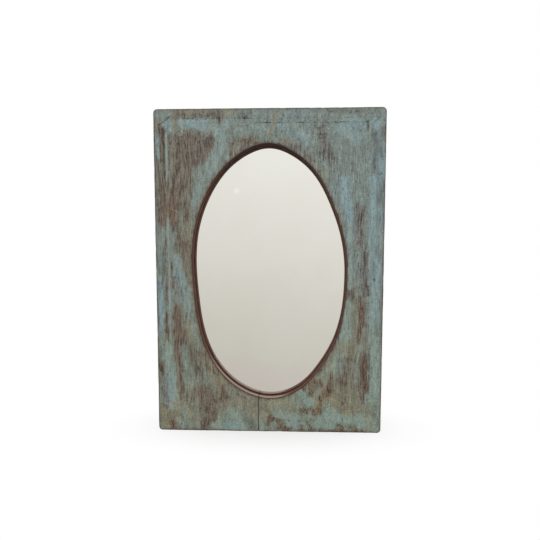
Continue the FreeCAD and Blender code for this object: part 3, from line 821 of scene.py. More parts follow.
def buildBoard(side, sign):
    seam = seamAt(sign)
    spacing = planks["spacing"]
    outer, outerNormals = outerPath(sign)
    rim = cutRing(openingRing, sign)
    recess = recessPath(sign)
    rows = {"points": [], "faces": [], "zone": []}

    def add(points, faces, zone):
        start = len(rows["points"])
        rows["points"] += [tuple(p) for p in points]
        rows["faces"] += [tuple(start + i for i in face) for face in faces]
        rows["zone"] += [zone] * len(faces)

    def strip(path, first, last, count, zone):
        width = len(path)
        points = []
        for share in np.linspace(0, 1, count):
            depth = first + (last - first) * share
            points += [(x, y, z) for (x, z), y in zip(path, depth)]
        faces = [(r * width + i, r * width + i + 1, (r + 1) * width + i + 1, (r + 1) * width + i)
                 for r in range(count - 1) for i in range(width - 1)]
        add(points, faces, zone)

    # the front, with lines along both edges, the seam and the scribed border
    lines = [outer - outerNormals * inset for inset in planks["arrisLines"]]
    rings = [cutRing(openingRing + openingNormals * outset, sign) for outset in planks["rimLines"]]
    lines += rings
    seams = []
    fromRim, fromOuter = planks["seamLineEnds"]
    for end, up in ((0, 1), (-1, -1)):
        stops = [rim[end, 1], *[ring[end, 1] for ring in rings]]
        far = [up * (halfHeight - inset) for inset in reversed(planks["arrisLines"])] + [up * halfHeight]
        middle = spread(stops[-1], far[0], spacing)[1:-1]
        seams.append(np.array([(seam, z) for z in (*stops, *middle, *far)]))
        beside = spread(stops[-1] + up * fromRim, far[0] - up * fromOuter, spacing)
        for aside in planks["seamLines"]:
            lines.append(np.array([(seam + sign * aside, z) for z in beside]))
    lowest = planks["scribeEnd"][sign] + planks["scribeFade"][0]
    for lineX, lineZ in scribePaths(sign):
        for step in planks["scribeLines"]:
            x, z = lineX - sign * step, lineZ - step
            level = [(stop, z) for stop in spread(seam + sign * planks["seamClear"], x, spacing)]
            upright = [(x, stop) for stop in spread(z, lowest, spacing)]
            lines.append(np.array(level + upright[1:]))
    for crack in planks["cracks"]:
        if crack[0][0] * sign > 0:
            lines += besideCrack(crack)
    top, bottom = seams
    outline = chain(outer, bottom[::-1], rim[::-1], top)
    flat, faces = fillSheet(outline, lines, scatterSpots(sign))
    depth = frontY + frontDepth(flat[:, 0], flat[:, 1], sign)
    add(np.column_stack((flat[:, 0], depth, flat[:, 1])), faces, "front")

    # outer side, wall of the oval, and what lies behind
    sideRows, wallRows, recessRows = planks["sideRows"], planks["wallRows"], planks["recessRows"]
    outerStart = frontY + frontDepth(outer[:, 0], outer[:, 1], sign)
    rimStart = frontY + frontDepth(rim[:, 0], rim[:, 1], sign)
    strip(outer, outerStart, np.full(len(outer), backY), sideRows, "side")
    strip(rim, rimStart, np.full(len(rim), lipY), wallRows, "wall")
    strip(recess, np.full(len(recess), lipY), np.full(len(recess), backY), recessRows, "inside")
    flat, faces = fillSheet(chain(recess, rim[::-1]), [], [])
    add([(x, lipY, z) for x, z in flat], faces, "inside")
    flat, faces = fillSheet(chain(outer, recess[::-1]), [], [])
    add([(x, backY, z) for x, z in flat], faces, "back")
    for end, face in ((0, top), (-1, bottom)):
        front = frontY + frontDepth(face[:, 0], face[:, 1], sign)
        border = [(seam, y, z) for (x, z), y in zip(face, front)]
        border += [(seam, y, face[-1, 1]) for y in np.linspace(front[-1], backY, sideRows)[1:]]
        border += [(seam, backY, recess[end, 1])]
        border += [(seam, y, recess[end, 1]) for y in np.linspace(backY, lipY, recessRows)[1:]]
        border += [(seam, y, rim[end, 1]) for y in np.linspace(lipY, front[0], wallRows)[:-1]]
        add(border, [tuple(range(len(border)))], "inside")

    shell = bmesh.new()
    onWall = shell.faces.layers.float.new("wall")
    onBack = shell.faces.layers.float.new("bareBack")
    made = [shell.verts.new(point) for point in rows["points"]]
    for face, zone in zip(rows["faces"], rows["zone"]):
        laid = shell.faces.new([made[i] for i in face])
        laid[onWall] = float(zone in ("wall", "inside"))
        laid[onBack] = float(zone == "back")
    bmesh.ops.remove_doubles(shell, verts=shell.verts[:], dist=planks["weld"])
    bmesh.ops.dissolve_degenerate(shell, edges=shell.edges[:], dist=planks["sliver"])
    manySided = [face for face in shell.faces if len(face.verts) > 4]
    bmesh.ops.triangulate(shell, faces=manySided, ngon_method="EAR_CLIP")
    bmesh.ops.recalc_face_normals(shell, faces=shell.faces[:])
    loose = sum(1 for edge in shell.edges if len(edge.link_faces) != 2)
    piece = shellPiece(shell, f"{side}_painted_board")
    measureBoard(piece.data, sign)
    print(side, "board", len(piece.data.polygons), "faces,", loose, "open edges")
    return piece


# moves each point by the hand-made unevenness, and writes what the paint needs to know about it
def measureBoard(mesh, sign):
    count = len(mesh.vertices)
    flat = np.empty(count * 3, np.float32)
    mesh.vertices.foreach_get("co", flat)
    x, y, z = flat.reshape(-1, 3).astype(float).T
    opening = fromOpening(x, z)
    edge = fromEdge(x, z)
    lean = roundOval(x, z, openingNormals[:, 1])      # of the oval's wall: 1 at the top, -1 at the bottom
    cleaner = 1 - 0.7 * smooth(y - frontY, 3, 8)      # the outer sides, away from the front

    dirt = np.maximum(0.8 * scribeCut(x, z, sign, planks["scribeDirt"]), 0.9 * crackCut(x, z))
    # the dark lines at the oval's rim and along the outer arris are dirt and painted shade
    rimDirtAndShade = 0.85 * near(opening + 0.5 * drift(x, z, 7, 7, 35.5), wearReach["rimDirtAndShade"])
    edgeDirtAndShade = 0.75 * cleaner * near(edge, wearReach["edgeDirtAndShade"])
    joint = near(np.abs(x - seamAt(sign)), wearReach["seamDirt"]) * np.where(z < 0, 1.1, 0.1)
    for found in (rimDirtAndShade, edgeDirtAndShade, joint, *[1.1 * dentAt(x, z, dent) for dent in dents]):
        dirt = np.maximum(dirt, found)

    ragged = 0.9 * drift(x, z, 9, 9, 31.5)
    rimWear = 0.4 * near(opening + 2.2 * ragged, wearReach["rimWear"])
    rimWear += 0.5 * near(opening + ragged, wearReach["rimBare"])
    edgeWear = cleaner * near(edge + 1.8 * drift(x, z, 10, 16, 27.5), wearReach["edgeWear"])
    handled = 0.7 * cleaner * near(edge + 6 * drift(x, z, 14, 30, 83.5), wearReach["handled"])
    weather = smooth(x + 0.6 * z + 40 * drift(x, z, 80, 80, 81.5), -150, 250) * smooth(z, -260, -20)
    stained = 0.3 * smooth(-0.6 * x - z, 60, 320) + 0.5 * near(opening + 4 * ragged, wearReach["rimWear"])
    # the upward-facing lower left of the oval's wall is lightened: partly dust, partly painted light from
    # above
    dustAndLight = smooth(-lean, 0.15, 0.85) * smooth(-x, -66, -6)
    measures = {
        "worn": brushed("worn", x, z) + 0.12 * smooth(-x, 100, 190) * smooth(z, -260, -120),
        "covered": brushed("covered", x, z),
        "blue": brushed("blue", x, z) + 0.25 * weather,
        "olive": brushed("olive", x, z) + stained,
        "weather": weather,
        "soiled": np.maximum(brushed("soiled", x, z), handled),
        "reddish": np.maximum(brushed("reddish", x, z), 0.9 * rimWear),
        "rimWear": rimWear,
        "bead": brushed("bead", x, z),
        "flaked": brushed("flaked", x, z),
        "upright": 1 - 0.6 * smooth(np.abs(z) + 20 * drift(x, z, 40, 40, 51.5), 225, 275),
        "edgeWear": edgeWear,
        "dirt": dirt,
        "joint": joint,
        # less of it near the glass, which leaves a darker band there as painted shade
        "ledge": dustAndLight * (0.25 + 0.75 * smooth(lipY - y, 2, 10)),
        # painted shade on the top of the oval's wall, which faces down, with less of it towards the glass as
        # painted light from the mirror
        "overhang": smooth(lean, 0.25, 0.95) * (1 - 0.75 * smooth(y - frontY, 7, 17)),
        # a lighter band across the middle of the wall's depth: painted light, leaving the wall darker at the
        # rim and near the glass
        "sawLine": np.exp(-((y - frontY) / planks["lipDepth"] / 0.16 - 3.2) ** 2),
    }
    for name, values in measures.items():
        layer = mesh.attributes.new(name, "FLOAT", "POINT")
        layer.data.foreach_set("value", values.astype(np.float32))

    # the seam wanders and opens below, the outline swells and waves a little
    still = smooth(np.abs(x - planks["seam"]), 0, 25)
    besideSeam = np.exp(-np.abs(x - planks["seam"]) / 4)
    x = x + besideSeam * 0.5 * drift(np.zeros(count), z, 1, 14, 71.5)
    opens = sign * planks["seamOpens"] * (z < 0) * besideSeam * (1 - smooth(y - frontY, 4, 12))
    x = x + opens * (0.7 + 0.6 * drift(np.zeros(count), z, 1, 9, 74.5))
    wave = 0.5 * planks["waviness"]
    swell = planks["swell"]
    x = x + np.sign(x) * swell * smooth(np.abs(x), 170, 225) + wave * still * drift(x, z, 45, 60, 41.5)
    z = z + 0.6 * swell * smooth(z, 280, 325) + wave * drift(x, z, 60, 45, 44.5)
    points = np.column_stack((x, y, z)) * mm
    mesh.vertices.foreach_set("co", points.astype(np.float32).ravel())
    mesh.update()
    soften(mesh, planks["sharpFrom"])


paintLook = {
    "teal": ("77877d", "92a499"),
    # painted light and shade: the teal a little darker and greyer on the upper half
    "tealShadedAbove": ("73807a", "8f9c96"),
    "blue": ("758a8d", "90a5a7"),
    "olive": ("787461", "99957d"),
    "wash": "7c786a",        # thin paint rubbed into the grain
    "greyWash": "7a7f78",
    "wood": ("5d5047", "7d6e62"),
    "greyWood": ("56504e", "79746e"),
    "redWood": "705140",
    "dirt": "3f3632",
    "wallWood": ("4c2d22", "7a5142"),
    # the colour of the painted shade on the top of the oval's wall
    "overhang": "1c110c",
    "flake": ("392c26", "8a735c"),
    "fleck": "4c443c",
    # light paint and a painted highlight on the bead's crest
    "beadPaintAndHighlight": "98a8a1",
    # dust and painted light on the upward-facing lower wall
    "ledgeDustAndHighlight": "ab9c90",
    "backWood": ("6d5239", "987a55"),
    "share": 0.60,           # how much paint is left, and what takes from it or adds to it
    "wornDrop": 0.165,
    "coveredGain": 0.16,
    "rimDrop": 0.40,
    "edgeDrop": 0.12,
    "shadedAboveFrom": (-0.30, 0.05),
}


def wornPaint():
    look = paintLook
    m = newFinish("wornPaint")
    own = m.place()
    upright = m.place(stretch=(1, 1, 0.16), where=m.swayed(own, 0.016, 9))
    mottle = m.cloud(own, 90, 6, 0.7)
    pitted = m.cloud(own, 400, 4, 0.7)
    cloudy = m.cloud(own, 15, 3, 0.5)
    speck = m.cloud(m.place(stretch=(1, 1, 0.5)), 430, 2, 0.5)

    # the grain runs upright, and at both ends of the boards the brush went across it too
    straight = m.measured("upright")
    leaning = 1 + 0.5 * (1 - straight)
    streaks = m.cloud(upright, 130, 6, 0.72, 0.1)     # long, with finer ones in them
    across = m.cloud(m.place(turn=(0, 0.5, 0), stretch=(1, 1, 0.4)), 120, 6, 0.7)
    grain = 0.5 + leaning * (straight * streaks + (1 - straight) * across - 0.5)
    fine = m.cloud(m.place(stretch=(1, 1, 0.45), where=upright), 560, 3, 0.65)
    across = m.cloud(m.place(turn=(0, -0.4, 0), stretch=(1, 1, 0.5)), 480, 4, 0.7)
    fine = 0.5 + leaning * (straight * fine + (1 - straight) * across - 0.5)

    # where paint is left
    ragged = 0.8 * (grain - 0.5) + 0.5 * (mottle - 0.5)
    worn = m.fade(m.measured("worn") - ragged, 0.05, 0.75)
    covered = m.fade(m.measured("covered") + ragged, 0.25, 0.65)
    cover = look["share"] - look["wornDrop"] * worn + look["coveredGain"] * covered
    cover = cover - look["rimDrop"] * m.measured("rimWear") - look["edgeDrop"] * m.measured("edgeWear")
    bead = m.measured("bead")
    cover = cover + (0.25 + 0.04 * worn) * (grain - 0.5) + 0.24 * (mottle - 0.5) + 0.4 * bead
    painted = (1 - m.measured("wall")) * (1 - m.measured("bareBack"))
    film = m.fade(cover + 0.15 * (fine - 0.5), 0.26, 0.80) * painted
    flecks = 1 - m.fade(cover + 1.5 * (fine - 0.5) + 0.6 * (pitted - 0.5), 0.28, 0.42)

    light = m.fade(0.8 * grain + 0.5 * mottle + 0.7 * pitted + 0.09 * covered, 0.76, 1.30)
    # painted light and shade: the paint is a little darker and greyer above than below
    rise = m.fade(m.axis(own, "Z"), *look["shadedAboveFrom"])
    teal = m.mix(rise, m.between(light, look["teal"]), m.between(light, look["tealShadedAbove"]))
    bluer = m.fade(m.measured("blue") + 0.8 * (cloudy - 0.5) + 0.3 * (mottle - 0.5), 0.1, 0.9)
    paint = m.mix(bluer, teal, m.between(light, look["blue"]))
    yellower = m.fade(m.measured("olive") + 0.8 * (mottle - 0.5), 0.1, 1.0)
    paint = m.mix(yellower, paint, m.between(light, look["olive"]))

    # bare wood under thin paint under full paint
    grown = m.fade(grain + fine, 0.7, 1.3)
    weather = m.measured("weather")
    wood = m.mix(weather, m.between(grown, look["wood"]), m.between(grown, look["greyWood"]))
    redder = m.fade(m.measured("reddish") + 0.6 * (grain - 0.5), 0.2, 0.9)
    wood = m.mix(0.8 * redder, wood, tone(look["redWood"]))
    wash = m.mix(weather, tone(look["wash"]), tone(look["greyWash"]))
    colour = m.mix(m.fade(film, 0.0, 0.6), wood, wash)
    colour = m.mix(m.fade(film, 0.25, 0.95), colour, paint)
    colour = m.mix(0.55 * flecks, colour, tone(look["fleck"]))

    # flakes, streaks of light and dark, specks, and dirt with painted shade at the rim and the outer edge
    chunk = m.cloud(m.place(stretch=(1, 1, 0.6)), 160, 6, 0.72)
    flake = 0.8 * m.measured("flaked") + 2.0 * (chunk - 0.5) + 1.4 * (pitted - 0.5)
    flake = m.fade(flake, 0.38, 0.64) * painted
    chip = m.between(m.fade(0.5 * fine + 0.5 * speck, 0.40, 0.60), look["flake"])
    colour = m.mix(0.8 * flake, colour, chip)
    contrast = 2.9 - 1.0 * film - 0.5 * covered
    shade = 1 + contrast * (0.65 * fine + 0.35 * pitted - 0.5) + 0.3 * (grain - 0.5)
    colour = m.node("ShaderNodeVectorMath", {"operation": "SCALE"}, {0: colour, "Scale": shade})
    colour = m.mix(0.65 * m.fade(speck, 0.60, 0.72), colour, tone(look["dirt"]))
    # dirt, with painted shade along the oval's rim and the outer arris
    grimeAndShade = m.measured("dirt") + 0.9 * (mottle - 0.5) + 0.5 * (pitted - 0.5) + 0.5 * (grain - 0.5)
    grimeAndShade = grimeAndShade + 0.66 * m.measured("soiled")
    colour = m.mix(0.8 * m.fade(grimeAndShade, 0.25, 0.95), colour, tone(look["dirt"]))
    # light paint and a painted highlight on the bead's crest
    colour = m.mix(0.6 * bead * painted, colour, tone(look["beadPaintAndHighlight"]))

    # the sawn wall of the oval: lighter below with dust and painted light, painted shade on its top, a
    # painted band of light across its middle, and the bare back
    sawn = m.cloud(m.place(stretch=(0.12, 1, 0.12)), 420, 3, 0.6)
    wall = m.between(m.fade(sawn, 0.3, 0.7), look["wallWood"])
    # painted light: a lighter band across the middle of the wall
    wall = m.mix(0.45 * m.measured("sawLine"), wall, tone(look["wood"][1]))
    # dust and painted light on the upward-facing lower wall, with painted shade left near the glass
    dustAndLight = m.fade(m.measured("ledge") + 0.25 * (mottle - 0.5), 0.2, 0.85)
    wall = m.mix(dustAndLight, wall, tone(look["ledgeDustAndHighlight"]))
    # painted shade on the downward-facing top of the wall
    wall = m.mix(0.8 * m.measured("overhang"), wall, tone(look["overhang"]))
    wall = m.mix(0.7 * m.measured("joint"), wall, tone(look["dirt"]))
    colour = m.mix(m.measured("wall"), colour, wall)
    bare = m.between(m.fade(streaks + 0.2 * pitted, 0.4, 0.8), look["backWood"])
    colour = m.mix(m.measured("bareBack"), colour, bare)

    height = 0.5 * film + 0.35 * grain + 0.35 * fine
    return m.surface({
        "Base Color": colour,
        "Roughness": 0.86 - 0.2 * film + 0.1 * (mottle - 0.5),
        "Specular IOR Level": 0.3,
        "Normal": m.bump(height, 0.45, 0.0006),
    })


boardPaint = wornPaint()
for side, sign in (("left", -1), ("right", 1)):
    board = buildBoard(side, sign)
    dress(board, boardPaint)
    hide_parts(f"{side}_board")
    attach(board, "frame")


# Mirror: the silver behind the glass, at the depth where the glass makes it seem to lie
glassPlate = {
    "lightBend": 1.52,
    "arris": 0.5,
    "corner": 2.0,
    "turnsFrom": 1.2,        # an edge that turns by more than this gets the arris, in radians
    "tint": ("f6f6f3", "f3f2ee"),
}


def silverGlass():
    m = newFinish("silverGlass")
    haze = m.cloud(m.place(), 7, 4, 0.6)
    dust = m.cloud(m.place(), 900, 2, 0.6)
    return m.surface({
        "Base Color": m.between(m.fade(haze, 0.3, 0.7), glassPlate["tint"]),
        "Metallic": 1.0,
        "Roughness": 0.012 + 0.02 * m.fade(haze + 0.2 * dust, 0.45, 0.9),
    })


def buildMirror():
    low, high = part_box("mirror_plate")
    depth = (high.y - low.y) / glassPlate["lightBend"]
    size = Vector((high.x - low.x, high.y - low.y - depth, high.z - low.z))
    centre = Vector(((high.x + low.x) / 2, (high.y + low.y + depth) / 2, (high.z + low.z) / 2))
    shell = bmesh.new()
    bmesh.ops.create_cube(shell, size=1)
    bmesh.ops.transform(shell, verts=shell.verts[:],
                        matrix=Matrix.Translation(centre) @ Matrix.Diagonal((*size, 1)))
    upright = [e for e in shell.edges if abs(e.verts[0].co.y - e.verts[1].co.y) > size.y / 2]
    bmesh.ops.bevel(shell, geom=upright, offset=glassPlate["corner"] * mm, segments=4, affect="EDGES")
    around = [e for e in shell.edges if abs(e.calc_face_angle(0)) > glassPlate["turnsFrom"]]
    bmesh.ops.bevel(shell, geom=around, offset=glassPlate["arris"] * mm, segments=2, affect="EDGES")
    return shellPiece(shell, "silvered_mirror")


mirror = buildMirror()
dress(mirror, silverGlass())
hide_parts("mirror_plate")
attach(mirror, "frame")
print("mirror", len(mirror.data.polygons), "faces")


# Back panel, packing and dowels: CAD pieces that keep their shape and get their wood
backLook = {
    "veneer": ("a67c4e", "c9a676"),
    "core": ("7d5a36", "94704a"),
    "stain": "6d5238",
    "plyHalf": 1.0,      # half the thickness of the middle ply, in millimetres
    "plyMiddle": -3.0,
    "card": ("857565", "9c8c7b"),
    "beech": ("b08a62", "cdab83"),
}


def plywood():
    m = newFinish("plywood")
    own = m.place()
    along = m.place(stretch=(1, 1, 0.09), where=m.swayed(own, 0.03, 5))
    figure = m.cloud(along, 60, 4, 0.6, 0.6)
    pores = m.cloud(m.place(stretch=(1, 1, 0.05)), 1500, 2, 0.5)
    age = m.cloud(own, 7, 4, 0.6)
    veneer = m.between(m.fade(figure + 0.4 * pores, 0.45, 0.95), backLook["veneer"])
    veneer = m.mix(0.5 * m.fade(age, 0.5, 0.75), veneer, tone(backLook["stain"]))
    depth = m.axis(own, "Y") / mm - backLook["plyMiddle"]
    outer = m.fade(depth * depth, backLook["plyHalf"] * 0.85, backLook["plyHalf"] * 1.15)
    core = m.between(m.cloud(own, 900, 2, 0.6), backLook["core"])
    return m.surface({
        "Base Color": m.mix(outer, core, veneer),
        "Roughness": 0.62 + 0.25 * (figure - 0.5),
        "Specular IOR Level": 0.3,
        "Normal": m.bump(figure + 0.5 * pores, 0.25, 0.0004),
    })


# a plain finish whose fibres run one way
def fibrous(name, stretch, scale, detail, rough, pair, dullness):
    m = newFinish(name)
    fibres = m.cloud(m.place(stretch=stretch), scale, detail, rough)
    return m.surface({
        "Base Color": m.between(m.fade(fibres, 0.3, 0.7), pair),
        "Roughness": dullness,
    })


dress(nodes["back_panel"], plywood())
dress(nodes["packing_sheet"], fibrous("packingCard", (1, 1, 0.4), 500, 4, 0.7, backLook["card"], 0.92))
beech = fibrous("dowelBeech", (0.1, 1, 1), 700, 3, 0.6, backLook["beech"], 0.7)
dress(nodes["top_dowels"], beech)
dress(nodes["bottom_dowels"], beech)
print("panel, packing and dowels dressed")


# Hangers and screws: old zinc, dull and rusting a little
zincLook = {
    "zinc": ("86847e", "b1aea6"),
    "rust": "6b4027",
    "rustFrom": 0.60,
    "rustFull": 0.12,    # this much further on
    "scratch": 0.12,
}


def oldZinc(name, rustier):
    m = newFinish(name)
    own = m.place()
    spangle = m.cloud(own, 420, 3, 0.6)
    scratch = m.cloud(m.place(stretch=(0.05, 0.05, 1), turn=(0.4, 0.2, 0.5)), 2600, 2, 0.5)
    spots = m.cloud(own, 260, 5, 0.7)
    zinc = m.between(m.fade(spangle + 0.3 * scratch, 0.4, 0.9), zincLook["zinc"])
    rust = m.fade(spots + rustier, zincLook["rustFrom"], zincLook["rustFrom"] + zincLook["rustFull"])
    return m.surface({
        "Base Color": m.mix(rust, zinc, tone(zincLook["rust"])),
        "Metallic": 1 - 0.9 * rust,
        "Roughness": 0.34 + zincLook["scratch"] * scratch + 0.4 * rust,
        "Normal": m.bump(spots + 0.3 * scratch, 0.2, 0.0002),
    })


screwSizes = {
    "back_panel": {"Head radius": 3.4, "Head depth": 2.0, "Shank radius": 1.7, "Length": 19.6, "Point": 4.0,
                   "Slot width": 0.9, "Slot depth": 0.9, "Pitch": 1.4, "Ridge": 0.16},
    "hanger": {"Head radius": 2.5, "Head depth": 1.3, "Shank radius": 1.35, "Length": 15.6, "Point": 3.0,
               "Slot width": 0.7, "Slot depth": 0.6, "Pitch": 1.2, "Ridge": 0.16},
    "headReach": 8,      # points of the CAD heads that lie nearer belong to one head
    "seed": 5,
}


# where the heads of a CAD node's screws lie
def headPlaces(node):
    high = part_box(node)[1].y
    heads = []
    for vert in nodes[node].data.vertices:
        if vert.co.y < high - 0.05 * mm:
            continue
        for head in heads:
            if (head[0] - vert.co).length < screwSizes["headReach"] * mm:
                head.append(vert.co.copy())
                break
        else:
            heads.append([vert.co.copy()])
    places = []
    for head in heads:
        across = [co.x for co in head]
        upright = [co.z for co in head]
        places.append(((min(across) + max(across)) / 2, high, (min(upright) + max(upright)) / 2))
    return places


def slottedScrews(material):
    g = Steps("slottedScrews")
    head, headDepth, shank, length, point, slotWidth, slotDepth, pitch, ridge = [
        g.size(name) for name in screwSizes["hanger"]]
    seed = g.size("Seed", "NodeSocketInt")

    cone = g.node("GeometryNodeMeshCone", {}, {
        "Vertices": 36, "Radius Bottom": head, "Radius Top": shank, "Depth": headDepth})
    blade = g.node("GeometryNodeMeshCube", {}, {"Size": g.node("ShaderNodeCombineXYZ", {}, {
        "X": 3 * head, "Y": slotWidth, "Z": 2 * slotDepth})})
    slotted = g.node("GeometryNodeMeshBoolean", {"operation": "DIFFERENCE"}, {
        "Mesh 1": cone, "Mesh 2": blade})

    # the rod's points are pushed out along a winding ridge and drawn in towards the tip
    rod = g.node("GeometryNodeMeshCylinder", {}, {
        "Vertices": 14, "Side Segments": 60, "Radius": shank, "Depth": length})
    spot = g.node("GeometryNodeInputPosition")
    x, y, z = [g.axis(spot, name) for name in "XYZ"]
    z = z + 0.5 * length
    wound = g.maths("FRACT", g.maths("ARCTAN2", y, x) / (2 * math.pi) - z / pitch)
    swell = 1 + ridge * wound
    taper = ((length - z) / point).atMost(1).atLeast(0.04)
    turned = g.node("ShaderNodeCombineXYZ", {}, {
        "X": x * swell * taper, "Y": y * swell * taper, "Z": z.atLeast(headDepth * 0.6)})
    threaded = g.node("GeometryNodeSetPosition", {}, {"Geometry": rod, "Position": turned})

    # each screw points into the wood and stops at its own turn
    screw = g.node("GeometryNodeJoinGeometry", {}, {0: [slotted, threaded]})
    angle = g.node("FunctionNodeRandomValue", {"data_type": "FLOAT"}, {
        2: 0.0, 3: 2 * math.pi, "Seed": seed}, output=1)
    aim = g.node("FunctionNodeEulerToRotation", {}, {0: (math.pi / 2, 0, 0)})
    spin = g.node("FunctionNodeEulerToRotation", {}, {0: g.node("ShaderNodeCombineXYZ", {}, {"Z": angle})})
    way = g.node("FunctionNodeRotateRotation", {"rotation_space": "LOCAL"}, {0: aim, 1: spin})
    driven = g.node("GeometryNodeInstanceOnPoints", {}, {
        "Points": g.start, "Instance": screw, "Rotation": way})
    g.done(driven, material)
    return g


screwSteps = slottedScrews(oldZinc("screwZinc", 0.05))
for kind, group in (("back_panel", "back_panel_screws"), ("hanger", "left_hanger_screws"),
                    ("hanger", "right_hanger_screws")):
    dots = bpy.data.meshes.new(group)
    dots.from_pydata(headPlaces(group), [], [])
    values = {size: value * (1 if size == "Ridge" else mm) for size, value in screwSizes[kind].items()}
    screws = screwSteps.make(f"slotted_{group}", dots, {**values, "Seed": screwSizes["seed"]})
    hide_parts(group)
    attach(screws, "frame")
    print(group, len(screws.data.polygons), "faces")


# Straps with a rolled eye, and D rings of bent wire that swing in them
hangerSizes = {"easing": 0.25, "easedFrom": 50, "wire": 1.3, "width": 24.0, "length": 22.0, "corner": 3.5}


def easedStrap(node, name):
    shell = bmesh.new()
    shell.from_mesh(nodes[node].data)
    bmesh.ops.remove_doubles(shell, verts=shell.verts[:], dist=1e-6)
    bmesh.ops.dissolve_limit(shell, angle_limit=math.radians(1), verts=shell.verts[:], edges=shell.edges[:])
    corners = [e for e in shell.edges if e.calc_face_angle(0) > math.radians(hangerSizes["easedFrom"])]
    bmesh.ops.bevel(shell, geom=corners, offset=hangerSizes["easing"] * mm, segments=2, affect="EDGES",
                    clamp_overlap=True)
    bmesh.ops.triangulate(shell, faces=[f for f in shell.faces if len(f.verts) > 4])
    piece = shellPiece(shell, name)
    soften(piece.data)
    return piece


# the middle of the wire: a straight bar in the eye, two tight bends and a round bow
def ringPath(node):
    low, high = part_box(node)
    half = hangerSizes["width"] / 2
    corner = hangerSizes["corner"]
    bow = half - hangerSizes["length"]
    path = [(x, 0) for x in np.linspace(corner - half, half - corner, 12)]
    path += [(half - corner + corner * c, corner * s - corner) for c, s in bend(90, 0, 9)]
    path += [(half, z) for z in np.linspace(-corner, bow, 6)[1:]]
    path += [(half * c, bow + half * s) for c, s in bend(0, -180, 37)]
    path += [(-half, z) for z in np.linspace(bow, -corner, 6)[1:]]
    path += [(corner - half + corner * c, corner * s - corner) for c, s in bend(180, 90, 9)[:-1]]
    middle = (low.x + high.x) / 2
    top = high.z - hangerSizes["wire"] * mm
    points = [(middle + x * mm, (low.y + high.y) / 2, top + z * mm) for x, z in path]
    mesh = bpy.data.meshes.new(node)
    mesh.from_pydata(points, [(i, (i + 1) % len(points)) for i in range(len(points))], [])
    return mesh


def bentWire(material):
    g = Steps("bentWire")
    thick = g.size("Wire radius")
    path = g.node("GeometryNodeMeshToCurve", {}, {0: g.start})
    section = g.node("GeometryNodeCurvePrimitiveCircle", {}, {"Resolution": 18, "Radius": thick})
    wire = g.node("GeometryNodeCurveToMesh", {}, {"Curve": path, "Profile Curve": section})
    g.done(wire, material)
    return g


hangerZinc = oldZinc("hangerZinc", 0.0)
wireSteps = bentWire(hangerZinc)
for side in ("left", "right"):
    strap = easedStrap(f"{side}_hanger_strap", f"{side}_rolled_strap")
    dress(strap, hangerZinc)
    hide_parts(f"{side}_hanger_strap")
    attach(strap, "frame")
    ring = wireSteps.make(f"{side}_bent_ring", ringPath(f"{side}_hanger_ring"),
                          {"Wire radius": hangerSizes["wire"] * mm})
    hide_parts(f"{side}_hanger_ring")
    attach(ring, f"{side}_ring")
    print(side, "hanger", len(strap.data.polygons) + len(ring.data.polygons), "faces")


# Stage: pale floor, soft light and the camera of the photograph, in metres
studio = {
    "floorReach": 6.0,
    "floorTones": ("f2f2f1", "f5f5f4"),
    "floorBounce": "8c8c8a",     # what the object sees of the floor
    "floorStretch": (0.4, 1, 0),
    "whiteFrom": 0.02,           # how far from the middle the floor turns white
    "whiteTo": 0.16,
    "whiteLeast": 0.6,
    "sky": (0.10, 0.5, 0.75),    # light from below, from the sides and from above
    "softbox": {"place": (-0.3, -2.6, 2.6), "size": 2.2, "power": 33},
    "fill": {"place": (0.4, -3.0, -0.5), "size": 2.6, "power": 69},
    # what the mirror shows, from the floor of the room upwards
    "room": ((0.338, "cac3be"), (0.357, "ccc6c0"), (0.376, "cecbc3"), (0.5, "e3e1db"), (0.63, "f6f5f0")),
    "roomSlant": 0.2,
    "glintWay": (-0.1246, -0.9819, 0.1426),    # a far lamp that shows faintly in the mirror
    "glintEdge": (0.99996, 0.999995),
    "glintShare": 0.5,
    "cameraPlace": (0.0446, -0.8941, 0.0421),
    "cameraTurn": (1.91, -4.38, -0.09),
    "focalPixels": 427.0,
    "middlePixels": (6.7, 16.3),
    "imagePixels": 540,
    "sensor": 36,                # millimetres
}


def buildFloor():
    reach = studio["floorReach"]
    corners = [(x * reach, y * reach, cadBox[0][2]) for x, y in ((-1, -1), (1, -1), (1, 1), (-1, 1))]
    mesh = bpy.data.meshes.new("pale_floor")
    mesh.from_pydata(corners, [], [(0, 1, 2, 3)])
    floor = newPiece("pale_floor", mesh)
    m = newFinish("paleFloor")
    spot = m.place(stretch=studio["floorStretch"])
    away = m.node("ShaderNodeVectorMath", {"operation": "LENGTH"}, {0: spot}, output="Value")
    eye = m.node("ShaderNodeLightPath", output="Is Camera Ray")
    pale = m.between(m.cloud(m.place(), 40, 2), studio["floorTones"])
    matt = m.node("ShaderNodeBsdfDiffuse", {}, {"Color": pale})
    dim = m.node("ShaderNodeBsdfDiffuse", {}, {"Color": tone(studio["floorBounce"])})
    seen = m.node("ShaderNodeMixShader", {}, {0: eye, 1: dim, 2: matt})
    bright = m.node("ShaderNodeEmission", {}, {"Color": white})
    least = studio["whiteLeast"]
    far = least + (1 - least) * m.fade(away, studio["whiteFrom"], studio["whiteTo"])
    shade = m.node("ShaderNodeMixShader", {}, {0: eye * far, 1: seen, 2: bright})
    m.node("ShaderNodeOutputMaterial", {}, {"Surface": shade})
    dress(floor, m.owner)
    floor.visible_glossy = False


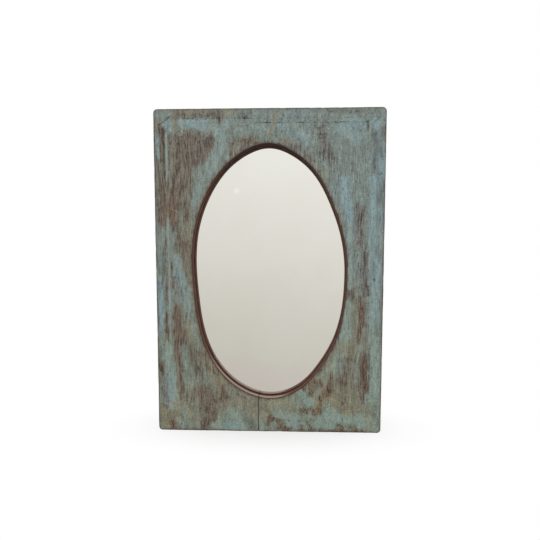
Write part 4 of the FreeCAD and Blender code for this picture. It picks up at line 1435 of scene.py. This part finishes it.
def buildWorld():
    scene.world = bpy.data.worlds.new("studioAir")
    m = Finish(scene.world)
    way = m.node("ShaderNodeTexCoord", output="Generated")
    rise = 0.5 + 0.5 * m.axis(way, "Z")
    sky = [(place, (level, level, level, 1)) for place, level in zip((0.0, 0.5, 1.0), studio["sky"])]
    light = m.node("ShaderNodeValToRGB", {"stops": sky}, {0: rise})
    walls = [(place, tone(colour)) for place, colour in studio["room"]]
    room = m.node("ShaderNodeValToRGB", {"stops": walls}, {
        0: rise + 0.5 * studio["roomSlant"] * m.axis(way, "X")})
    facing = m.node("ShaderNodeVectorMath", {"operation": "DOT_PRODUCT"}, {
        0: way, 1: studio["glintWay"]}, output="Value")
    room = m.mix(studio["glintShare"] * m.fade(facing, *studio["glintEdge"]), room, white)
    eye, gloss, through = [m.node("ShaderNodeLightPath", output=f"Is {kind} Ray")
                           for kind in ("Camera", "Glossy", "Transmission")]
    colour = m.mix(gloss.atLeast(through), light, room)
    colour = m.mix(eye, colour, white)
    air = m.node("ShaderNodeBackground", {}, {"Color": colour})
    m.node("ShaderNodeOutputWorld", {}, {"Surface": air})


def addLamp(name):
    facts = studio[name]
    lamp = bpy.data.lights.new(name, "AREA")
    lamp.shape = "SQUARE"
    lamp.size = facts["size"]
    lamp.energy = facts["power"]
    holder = newPiece(name, lamp)
    holder.location = facts["place"]
    holder.rotation_euler = (-Vector(facts["place"])).to_track_quat("-Z", "Y").to_euler()
    holder.visible_glossy = False


def buildCamera():
    lens = bpy.data.cameras.new("photoCamera")
    size = studio["imagePixels"]
    lens.sensor_width = studio["sensor"]
    lens.lens = studio["focalPixels"] / size * studio["sensor"]
    lens.shift_x = -studio["middlePixels"][0] / size
    lens.shift_y = studio["middlePixels"][1] / size
    lens.clip_start = 0.01
    holder = newPiece("photoCamera", lens)
    yaw, pitch, roll = [math.radians(a) for a in studio["cameraTurn"]]
    turn = Matrix.Rotation(yaw, 4, "Z") @ Matrix.Rotation(pitch, 4, "X") @ Matrix.Rotation(roll, 4, "Y")
    holder.matrix_world = (Matrix.Translation(studio["cameraPlace"]) @ turn
                           @ Matrix.Rotation(math.pi / 2, 4, "X"))
    scene.camera = holder


buildFloor()
buildWorld()
addLamp("softbox")
addLamp("fill")
buildCamera()
print("stage and camera set")
